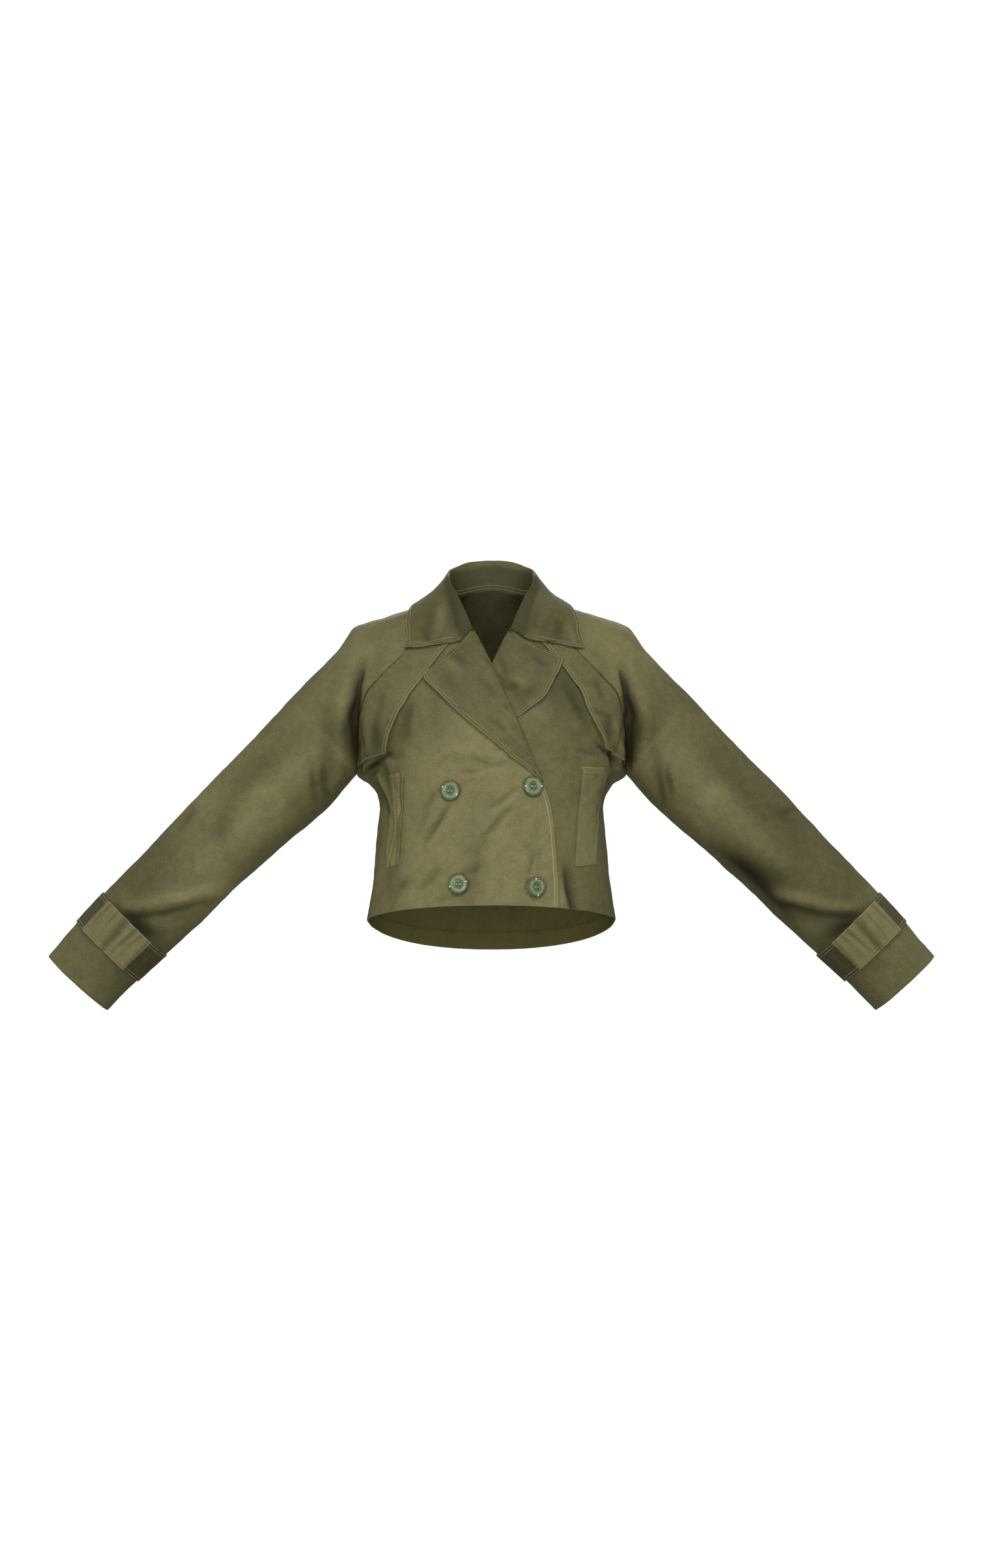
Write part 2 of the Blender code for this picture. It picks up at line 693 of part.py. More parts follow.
def settle(g, n, wall, lower, room, passes=10):
    """Lift a grid until its inner face stands room clear of the cloth under it."""
    g = g.copy()
    for _ in range(passes):
        m = normals(g)
        ref = n if n is not None else g - np.stack([g[..., 0] * 0.5, g[..., 1] * 0,
                                                    g[..., 2] - 40], -1)
        m = np.where(np.sum(m * ref, -1, keepdims=True) < 0, -m, m)
        q = g - m * wall
        need = np.zeros(g.shape[:2])
        for i in range(g.shape[0] - 1):
            for j in range(g.shape[1] - 1):
                for u in (0.0, 0.33, 0.67, 1.0):
                    for v in (0.0, 0.33, 0.67, 1.0):
                        p = ((q[i, j] * (1 - u) + q[i + 1, j] * u) * (1 - v)
                             + (q[i, j + 1] * (1 - u) + q[i + 1, j + 1] * u) * v)
                        hit, nor, _, dist = lower.find_nearest(tuple(p))
                        if hit is None or dist > 12:
                            continue
                        lack = room - float(np.dot(p - np.array(hit), np.array(nor)))
                        if lack > 0:
                            need[i:i + 2, j:j + 2] = np.maximum(need[i:i + 2, j:j + 2],
                                                                lack)
        if need.max() < 0.03:
            break
        soft = np.pad(need, 1, mode="edge")
        soft = sum(soft[a:a + need.shape[0], b:b + need.shape[1]]
                   for a in range(3) for b in range(3)) / 9
        g += m * (np.maximum(need, soft) * 0.7)[..., None]
    return g


def neck(a):
    """The neck seam from the centre back (0) round the +X side to the notch (8)."""
    if a <= 2:
        return torso(BACK, a / 2, 0.0)
    if a <= 6:
        return sleeve(1 - (a - 2) / 4, 0.0, 1)
    return torso(FRONT, 1 - (a - 6) / 2 * (1 - NOTCH_C), 0.0)


def make_collar(lower):
    tab = table(COLLAR_ROWS)
    a = np.concatenate([np.linspace(-7.86, -5.5, 7), np.linspace(-5, 5, 15),
                        np.linspace(5.5, 7.86, 7)])
    g = []
    for v in a:
        sgn = -1 if v < 0 else 1
        q = at(tab, np.array(abs(v)), "rx", "ry", "rz", "ex", "ey", "ez", "bow")
        nk, rl, ed, bow = neck(abs(v)), q[0:3].copy(), q[3:6].copy(), q[6]
        if sgn > 0:
            ed += np.array([13.0, 0.0, 4.0]) * np.exp(-((abs(v) - 7.0) / 1.1)**2)
        out = unit(np.array([rl[0], rl[1] * 0.9, 12.0]))
        rise = rl - nk
        row = [nk + unit(rise + 1e-6) * 0.45] + [nk + rise * f for f in (0.33, 0.62, 0.86)]
        h = min(1.0, np.linalg.norm(rise) / 20)
        row.append(rl + out * 0.2)
        row.append(rl + out * 3.2 * h + unit(rise + 1e-6) * 1.0 * h)
        row.append(rl + out * 6.2 * h - np.array([0, 0, 2.5 * h]))
        start = row[-1]
        nrm = unit(np.cross(np.cross(ed - start, out), ed - start))
        nrm = nrm if nrm[2] > 0 else -nrm
        for f in (0.2, 0.4, 0.6, 0.8, 1.0):
            row.append(start + (ed - start) * f + nrm * bow * np.sin(np.pi * f)**0.8)
        row = np.array(row)
        row[:, 0] *= sgn
        g.append(row)
    g = np.array(g)
    g[:, 6:] = settle(g[:, 6:], None, COLLAR_WALL, lower, 1.0)
    return g


def grid_rows(rows, cols, power=1.0):
    """Rows of x, z between an inner and an outer line, as c and t on the front."""
    tab = table(rows)
    k = len(tab["rx"])
    run = np.arange(k, dtype=float)
    q = np.linspace(0, k - 1, 2 * k - 1)
    rx, rz, ox, oz, lf = [smooth(run, tab[n], q) for n in ("rx", "rz", "ox", "oz", "lift")]
    f = np.linspace(0, 1, cols)[None, :]**power
    x = rx[:, None] * (1 - f) + ox[:, None] * f
    z = rz[:, None] * (1 - f) + oz[:, None] * f
    return x, z, f + 0 * x, lf[:, None] + 0 * x


def make_lapel(side):
    x, z, f, lf = grid_rows(LAPEL_RIGHT_ROWS if side < 0 else LAPEL_LEFT_ROWS, 7)
    c, t = on_front(x, z)
    # a soft roll at the fold, then flat, then a little lift to the outer edge
    wide = np.hypot(x - x[:, :1], z - z[:, :1])
    roll = 1 - np.exp(-wide / 4.0)
    lift = LAPEL_WALL + 0.6 + (lf - 0.6) * roll * (1 - 0.25 * f)
    if side > 0:
        # under the right front it lies flat between the two fronts
        p = torso(FRONT, c, t)
        d = p[..., 0] - edge_x(p[..., 2])
        u = np.clip((d - 9) / 16, 0, 1)
        u = u * u * (3 - 2 * u)
        lift = (LAPEL_WALL + 0.45) * (1 - u) + lift * u
    return laid(c, t, lift, side)


def make_flap(side):
    tab = table(FLAP_RIGHT_ROWS if side < 0 else FLAP_LEFT_ROWS)
    k = len(tab["x"])
    q = np.linspace(0, k - 1, 11)
    x = smooth(np.arange(k, dtype=float), tab["x"], q)
    z = smooth(np.arange(k, dtype=float), tab["z"], q)
    ci, ti = on_front(x, z)
    to = np.linspace(0.10, FLAP_FOOT, len(q))
    co = side * (0.986 - 0.02 * np.linspace(0, 1, len(q))**4)
    f = np.linspace(0, 1, 9)[None, :]
    c = co[:, None] * (1 - f) + ci[:, None] * f
    t = to[:, None] * (1 - f) + ti[:, None] * f
    hang = np.linspace(0, 1, len(q))[:, None]
    lift = FLAP_WALL + 0.8 + 0.4 * f + 2.4 * f * hang**1.5
    return laid(c, t, lift, side)


def make_pocket(side):
    tab = table(POCKET_RIGHT_ROWS if side < 0 else POCKET_LEFT_ROWS)
    zz = np.linspace(tab["z"][0], tab["z"][-1], 10)
    xi = smooth(tab["z"][::-1], tab["xi"][::-1], zz)
    xo = smooth(tab["z"][::-1], tab["xo"][::-1], zz)
    f = np.linspace(0, 1, 4)[None, :]
    x = xi[:, None] * (1 - f) + xo[:, None] * f
    c, t = on_front(x, zz[:, None] + 0 * x)
    return laid(c, t, 1.6 + 0.8 + 0 * x, side)


def make_strap(side):
    t = np.array([STRAP_FROM, 1.825, STRAP_TO])
    s = np.concatenate([ACROSS["f"] * 0.5, 1 - ACROSS["b"][1:-1][::-1] * 0.5])
    ss, tt = np.meshgrid(s, t, indexing="xy")
    p, n = sleeve_n(ss, tt, side)
    # the seam under the arm faces away from the top line
    ax = (sleeve(0.5, tt[:, :1], side) + sleeve(0.0, tt[:, :1], side)) / 2
    m = unit(p - ax)
    n = np.where((np.abs(ss - 0.0) < 1e-6)[..., None], m, n)
    proud = 0.4 + STRAP_WALL + 1.2 * np.sin(np.pi * np.clip(ss, 0, 1))**2
    off = crease(p, n) + proud
    return p + n * off[..., None], n


def button(name, x, z, base):
    c, t = on_front(x, z)
    g, n = laid(c, t, base, -1)
    a = unit(np.cross([0.0, 0.0, 1.0], n))
    b = np.cross(n, a)
    turns = np.linspace(0, 2 * np.pi, 25)[:-1]
    prof = [(0.0, 0.0), (BUTTON_R - 1.0, 0.0), (BUTTON_R, 1.2), (BUTTON_R - 0.2, 2.4),
            (BUTTON_R - 1.4, BUTTON_T),
            (BUTTON_R - BUTTON_RIM - 1.4, BUTTON_T - BUTTON_DISH),
            (0.0, BUTTON_T - BUTTON_DISH)]
    verts, faces = [], []
    verts.append(g)
    for r, h in prof[1:-1]:
        for u in turns:
            verts.append(g + a * r * np.cos(u) + b * r * np.sin(u) + n * h)
    verts.append(g + n * prof[-1][1])
    m = len(turns)
    for i in range(m):
        faces.append((0, 1 + (i + 1) % m, 1 + i))
    for k in range(len(prof) - 3):
        for i in range(m):
            p, q = 1 + k * m + i, 1 + k * m + (i + 1) % m
            faces.append((p, q, q + m, p + m))
    last = len(verts) - 1
    for i in range(m):
        p, q = 1 + (len(prof) - 3) * m + i, 1 + (len(prof) - 3) * m + (i + 1) % m
        faces.append((p, q, last))
    me = bpy.data.meshes.new(name)
    me.from_pydata([tuple(v * MM) for v in verts], [], faces)
    me.update()
    ob = bpy.data.objects.new(name, me)
    bpy.context.scene.collection.objects.link(ob)
    cut = []
    for i in range(4):
        u = 0.83 + i * np.pi / 2
        o = g + (a * np.cos(u) + b * np.sin(u)) * HOLE_AT
        vs, fs = [], []
        k = 8
        for h in (-2.0, 6.0):
            for j in range(k):
                w = 2 * np.pi * (j + 0.31) / k
                vs.append(o + (a * np.cos(w) + b * np.sin(w)) * HOLE_R + n * h)
        fs.append(tuple(range(k))[::-1])
        fs.append(tuple(range(k, 2 * k)))
        for j in range(k):
            fs.append((j, (j + 1) % k, k + (j + 1) % k, k + j))
        cm = bpy.data.meshes.new(name + "_hole")
        cm.from_pydata([tuple(v * MM) for v in vs], [], fs)
        cm.update()
        co = bpy.data.objects.new(name + "_hole%d" % i, cm)
        bpy.context.scene.collection.objects.link(co)
        co.hide_render = True
        co.hide_viewport = True
        md = ob.modifiers.new("hole%d" % i, "BOOLEAN")
        md.operation = "DIFFERENCE"
        md.solver = "EXACT"
        md.object = co
    return ob


def main():
    for ob in list(bpy.data.objects):
        bpy.data.objects.remove(ob, do_unlink=True)
    make_coat()
    for side, word in ((-1, "right"), (1, "left")):
        g, n = make_flap(side)
        g = settle(g, n, FLAP_WALL, below("front_" + word, "sleeve_front_" + word), 1.6)
        shell("storm_flap_" + word, g, FLAP_WALL, outwards(g, n))
        OUTER["storm_flap_" + word] = (g, outwards(g, n))
        g, n = make_lapel(side)
        g = settle(g, n, LAPEL_WALL, below("front_" + word, "storm_flap_" + word), 0.4)
        shell("lapel_" + word, g, LAPEL_WALL, outwards(g, n))
        OUTER["lapel_" + word] = (g, outwards(g, n))
        g, n = make_pocket(side)
        g = settle(g, n, 1.6, below("front_" + word), 0.5)
        shell("pocket_welt_" + word, g, 1.6, outwards(g, n))
        g, n = make_strap(side)
        shell("sleeve_strap_" + word, g, STRAP_WALL, outwards(g, n, True), closed=True)
    g = make_collar(below(*[k for k in OUTER if not k.startswith("lapel")]))
    n = normals(g)
    shell("collar", g, COLLAR_WALL, n if n[len(g) // 2, -2, 1] > 0 else -n)
    tab = table(BUTTONS)
    for i, (x, z) in enumerate(zip(tab["x"], tab["z"])):
        button("button_%d" % (i + 1), x, z, 0.85)


main()
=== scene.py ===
"""Short trench coat in olive cotton twill: the cloth, its stitching and its buttons.
Tables and lengths are in millimetres, meshes in metres; -Y is the front of the coat and
+X the wearer's left."""
import math
import bpy
import numpy as np
from mathutils import Matrix, Vector
from mathutils.bvhtree import BVHTree


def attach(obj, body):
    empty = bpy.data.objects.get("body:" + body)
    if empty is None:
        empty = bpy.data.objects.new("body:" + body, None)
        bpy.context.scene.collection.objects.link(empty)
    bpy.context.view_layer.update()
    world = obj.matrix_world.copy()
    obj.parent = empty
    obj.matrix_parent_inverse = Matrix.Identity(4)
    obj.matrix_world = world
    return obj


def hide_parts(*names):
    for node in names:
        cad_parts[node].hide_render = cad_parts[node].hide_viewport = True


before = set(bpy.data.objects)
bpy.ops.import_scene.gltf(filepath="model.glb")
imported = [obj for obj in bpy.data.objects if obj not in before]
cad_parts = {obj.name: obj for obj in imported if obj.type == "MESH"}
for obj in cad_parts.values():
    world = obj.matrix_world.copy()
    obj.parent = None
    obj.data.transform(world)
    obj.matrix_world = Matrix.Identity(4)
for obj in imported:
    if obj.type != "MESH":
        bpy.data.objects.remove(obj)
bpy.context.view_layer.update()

MM = 0.001
SEAM_ROOM = 0.10         # what is left open between two sewn panels
NECK_LAP = 0.55          # how far the collar's stand reaches below the neck seam
CLOTH = 1.15             # twill with its seam allowance behind it
LAPEL_CLOTH, COLLAR_CLOTH, FLAP_CLOTH, STRAP_CLOTH, WELT_CLOTH = 1.5, 1.7, 1.5, 1.6, 0.9
EDGE_ROW, SECOND_ROW = 1.4, 5.6      # the two topstitched rows, from a turned edge
NECK_STITCHES = (3.2, 8.2)           # the stand's two rows, from the neck seam
WELT_ROW = 5.5                       # the left welt's row, from its outer edge
WELT_TOP_ROWS, WELT_FOOT_ROW = (1.6, 8.4), 2.2
CLOSING_ROW_TOP = -268               # height where the closing edge's row starts
STITCH_PITCH = 3.3
# How much darker (minus) or paler (plus) than the right front each piece is painted:
# painted shade and painted light for how the light falls on it where it hangs.
PIECE_PAINTED_SHADING = {"front_left": -0.42, "sleeve_front": -0.34, "sleeve_back": -0.34, "back": -0.15,
              "lapel": -0.62, "storm_flap": -0.48, "collar": -0.62, "pocket_welt": 0.05,
              "sleeve_strap": 0.15}

# ------------------------------------------------------------------ the coat's form
# Front half rings. t 0 = neck, 1 = underarm, 2 = hem.  C = centre front, F = raglan or
# side seam; turn = heading in plan at the seam, kc / kf = how far each end stays flat.
FRONT_ROWS = """
t     cy      cz     fx     fy     fz    turn  kc    kf
0.00  -86     -56    58     -38      0    55   0.28   22
0.25  -99     -88    90     -66    -33    42   0.42   32
0.50  -109   -120   124     -86    -75    30   0.48   42
0.70  -115.5 -148   160     -92   -113    30   0.50   48
0.80  -118.5 -166   177     -88   -135    44   0.52   52
0.90  -122   -192   189     -60   -183    66   0.56   56
1.00  -124.5 -224   193       2   -236    90   0.58   72
1.06  -125.5 -236   174       3   -250    90   0.60   76
1.14  -126   -254   162.5     3   -268    90   0.62   78
1.22  -126   -272   159.5     3   -286    90   0.62   78
1.38  -125.5 -302   162       3   -318    90   0.62   77
1.65  -124   -360   167       2   -374    90   0.61   75
2.00  -121   -430   176       0   -445    90   0.60   72
"""
# Back half rings, the same way: C = centre back, B = back raglan or side seam.
BACK_ROWS = """
t     cy      cz     fx     fy     fz    turn  kc    kf
0.00   75      45    48      58     34   -42   0.45   18
0.25   88      12    84      80    -12   -22   0.42   32
0.50   98     -32   122      92    -66   -25   0.48   42
0.70  104     -78   158      88   -112   -34   0.50   48
0.80  107    -106   175      78   -142   -46   0.52   50
0.90  110    -150   188      52   -188   -66   0.56   52
1.00  112    -215   193       2   -236   -90   0.58   62
1.06  112    -232   174       3   -250   -90   0.60   66
1.14  111    -256   162.5     3   -268   -90   0.62   66
1.22  110.5  -276   159.5     3   -286   -90   0.62   66
1.38  110    -312   162       3   -318   -90   0.62   66
1.65  111    -385   167       2   -374   -90   0.61   66
2.00  115    -482   176       0   -445   -90   0.66   76
"""
# Sleeve rings over the shoulder. S = top line; f.. = pull from the front seam,
# g.. = pull at the top to the front, h.. = at the top to the back, b.. = from the back seam.
YOKE_ROWS = """
t     sx    sy    sz    fx   fy   fz   gx   gy   gz   hx   hy   hz   bx   by   bz
0.00  64     6    24     3   15    9    0  -18   -5    0   18    3   10  -14   -3
0.25  106    8     8    18   18   16    0  -28   -3    0   28   -2   14  -18    8
0.50  152   10    -6    24   16   25    0  -38   -5    0   38   -4   18  -16   22
0.70  196   12   -20    24    6   32    5  -46  -12    4   46  -12   20   -6   30
0.80  223   14   -56    27  -10   24    0  -60   -8    0   58   -8   24    8   26
0.90  256   15   -91    16  -50   10    0  -74   -4    0   70   -4   16   46   12
1.00  296   15  -133     0  -80    0    0  -80    0    0   78    0    0   78    0
"""
# Sleeve rings below the underarm: S = top line, K = seam under the arm, df / db = depth.
SLEEVE_ROWS = """
t     sx    sy    sz    kx    ky    kz   df   db
1.00  296   15  -133   193     2  -236   60   58
1.14  344   18  -184   240     8  -287   60   58
1.29  393   22  -234   294    14  -333   58   56
1.47  455   27  -299   361    22  -392   55   53
1.62  503   31  -350   411    28  -440   52   50
1.77  556   36  -404   467    33  -491   49   47
1.88  593   40  -444   507    38  -527   47   45
2.00  636   45  -494   551    44  -571   44   42
"""
# Front edge of the right front: roll line down to the break, then the closing edge.
EDGE_ROWS = """
z     x
-20  -34
-42  -23
-91    0
-165  33
-235  62
-260  71
-288  81.5
-325  87
-365  90
-440  93
-470  94
"""
# Lapel rows: roll line point, outer edge point, how far it stands off the front.
LAPEL_RIGHT_ROWS = """
rx     rz     ox    oz    lift
-22.6 -43.5  -41.5  -59.5  4.0
-20   -49    -56    -74    4.5
-14   -62    -76    -94    5.0
-8    -75    -94   -112    5.5
 2    -96    -75   -134    5.0
 14  -123    -54   -156    4.5
 29  -157    -33   -175    4.0
 42  -188     -3   -199.5  3.5
 56  -221     24   -224    3.0
 65.5 -246     47   -241    2.0
 70.0 -258     62   -254    1.0
"""
LAPEL_LEFT_ROWS = """
rx     rz     ox    oz    lift
 22.6 -43.5   44   -57.5   4.0
 20   -49     62   -68     4.5
 15   -60     84   -78     5.0
 10   -71     99.5 -87     5.5
 3    -86     95   -101    5.0
-4    -100    88   -114    4.5
-14   -124    75   -139    4.0
-24   -147    55   -156    3.5
-33   -168    28   -173    3.0
-42   -196    -22  -193    2.0
"""
# Storm flap free edge, from under the collar to its lower corner.
FLAP_RIGHT_ROWS = """
x     z
-52   -50
-68   -72
-94   -110
-116  -141
-131  -166
-141  -194
-147  -212
"""
FLAP_LEFT_ROWS = """
x     z
 64   -50
 80   -72
 99   -97
 115  -119
 127  -140
 138  -165
 150  -190
 158  -205
"""
# The row sewn down inside the right pocket's welt.
POCKET_ROW = """
z     x
-240 -139
-265 -136.5
-290 -135
-318 -134
-342 -139
-369 -147
"""
FLAP_HEAD, FLAP_FOOT = 0.10, 0.982       # rings between which the raglan seam holds the flap
# Pocket welts: inner edge x, outer edge x at each height.
POCKET_RIGHT_ROWS = """
z     xi    xo
-243 -122  -147
-276 -122  -146
-308 -125  -146
-341 -128  -149
-372 -130  -153
"""
POCKET_LEFT_ROWS = """
z     xi    xo
-236  126   164
-276  122   156
-308  119   152
-341  117   149
-376  115   147
"""
# Collar stations from the centre back (0) by the raglan seam (2), top line (4) and
# front raglan seam (6) to the notch (8): r = the turn at the top, e = outer edge,
# bow = how far the leaf swells.
COLLAR_ROWS = """
a      rx   ry   rz   ex   ey   ez  bow
0.0     0   80   90    0  113   27   5
1.0    24   76   88   40  108   22   5
2.0    46   63   79   76   91   12   3
3.0    60   38   65   99   58    6   1.5
4.0    60   10   53  106   16    8   1.5
5.0    56  -14   36  110  -22  -14   3
6.0    46  -36   15  112  -54  -44   5
7.0    35  -56  -12  111.5 -81 -78   4
7.5    30  -64  -26   78  -88  -68   3
8.0    24  -71  -40   43  -83  -56.5 2
"""
NOTCH_C = 0.36           # where the gorge ends on the neck ring
BUTTONS = """
x      z      tilt
-56.5 -272     0
 57   -266     4
-45.5 -401    -3
 60.7 -405    19
"""
PIPS_AT = (-29, 2, 17, 97)       # where each button's two painted glints sit round its rim, in degrees
BUTTON_R, HOLE_AT, HOLE_R = 13.1, 3.1, 1.45
HOLE_TURN = 0.83                 # how the four holes are turned on the face, in radians
# the pale bumps put on each rim as painted glints: their size, inset and height
PIP_R, PIP_INSET, PIP_UP = 1.3, 1.6, 3.0
STRAP_FROM, STRAP_TO = 1.772, 1.885      # the rings between which the strap lies
STRAP_SWELL = 8.6                # how far the strap's face bows out over the sleeve
STRAP_FACE = 0.69                # share of the sleeve's width that the flat face takes
STRAP_SINK, STRAP_OUT = 4.2, 3.0         # its corners sit in by this, its sides out by that
STRAP_FOLD = 0.262               # place round the sleeve of the one fold across the strap
# Tucks that the topstitching draws into the strap: place round the sleeve, depth, half width.
STRAP_TUCKS = """
at     depth  half
0.100  -1.0   .006
0.145  -1.5   .007
0.185  -1.0   .006
0.215  -1.8   .007
0.300  -1.3   .006
0.345  -1.6   .007
0.390  -0.9   .006
0.60   -1.4   .008
0.67   -1.1   .007
0.75   -1.6   .008
0.84   -1.2   .007
0.90   -1.4   .008
"""

# The main folds: f = seen from the front, b = from the back; depth (minus = trough),
# half width, then the path in x and z.
FOLDS = """
f -8.0  7 -182 -84 -190 -120 -193 -158 -188 -200 -186 -226
f -8.0  7  184 -92  192 -134  195 -178  194 -226
f  3.0 10 -207 -110 -213 -160 -210 -215
f  3.0 10  209 -115  216 -165  214 -222
f -4.0  9 -229 -190 -234 -235 -240 -276
f -3.5  9  228 -195  236 -240  246 -285
f -3.0  5  188 -168  182 -190  175 -212
f  3.0  9 -168 -150 -172 -185 -168 -214
f -4.0  5 -167 -248 -155 -270 -143 -300
f  2.5  4 -160 -246 -149 -270 -138 -300
f -3.0  4 -156 -226 -149 -255 -143 -284
f -3.0  5  168 -252  158 -275  152 -302
f -2.4  5  -64 -297 -78 -322 -94 -349
f  2.0  5  -82 -304 -96 -324 -110 -343
f -2.2  6   35 -301  10 -326 -17 -350
f  2.2  9   50 -312  24 -336   0 -360
f -2.5  7  -74 -382 -88 -395 -102 -408
f -2.2  6 -106 -390 -118 -400 -131 -408
f -1.2  5  -75 -238 -52 -231 -30 -228 -12 -234 5 -238 25 -226
f  2.0  7  -70 -224 -40 -217 -10 -221 20 -214
f -2.2  6   50 -348  57 -362  60 -384
f -2.2  5  -36 -383 -26 -381 -12 -378
f -4.5  8  106 -374 112 -400 118 -446
f  3.5  8   94 -385  99 -410 104 -446
f -3.0 12 -135 -300 -138 -350 -150 -440
f -2.5 14  -20 -300 -26 -360 -30 -436
f -1.7 11 -372 -418 -444 -438 -520 -441
f -4.5 10  360 -405  420 -432  470 -446  510 -438
f  3.0 12 -350 -392 -430 -415 -520 -420
f  3.0 12  330 -388  400 -410  470 -425
f -4.0 14  300 -345  350 -388  405 -428
f -3.0  8  404 -286  421 -300  440 -306
f -2.5 18 -290 -190 -360 -262 -430 -335
f -2.5 18  300 -200  370 -275  440 -345
f  2.5 18 -262 -215 -330 -290 -400 -365
f  2.5 18  266 -220  335 -295  405 -370
f -2.0 10 -150 -60 -160 -85 -165 -110
f -2.0 10  150 -60  158 -85  162 -105
b -7.0  8 -182 -80 -192 -130 -195 -180 -190 -220
b -7.0  8  182 -82  192 -132  195 -182  190 -222
b  3.0 10 -209 -110 -216 -165 -214 -222
b  3.0 10  209 -112  216 -167  214 -224
b -3.5 10 -228 -190 -236 -235 -246 -280
b -3.5 10  229 -192  237 -237  247 -282
b -3.5  7 -164 -250 -152 -275 -136 -306
b -3.5  7  166 -252  152 -278  138 -310
b -3.0 10  -62 -300 -84 -330 -108 -352
b -3.0 10   55 -310   82 -340  104 -360
b  2.5 14    0 -180    4 -280    0 -380
b -3.5 14  -62 -360  -58 -410  -66 -470
b -3.5 14   52 -350   60 -410   58 -470
b -2.5 12  -10 -60  -30 -80  -60 -95
b -2.5 12   12 -64   34 -84   62 -98
b -4.0 10 -376 -414 -440 -436 -505 -440
b -4.0 10  372 -410  436 -434  503 -438
b -3.0 12 -390 -286 -424 -318 -440 -350
b -3.0 12  394 -290  426 -320  444 -352
b -2.5 18 -290 -190 -360 -262 -430 -335
b -2.5 18  292 -192  362 -264  432 -337
"""
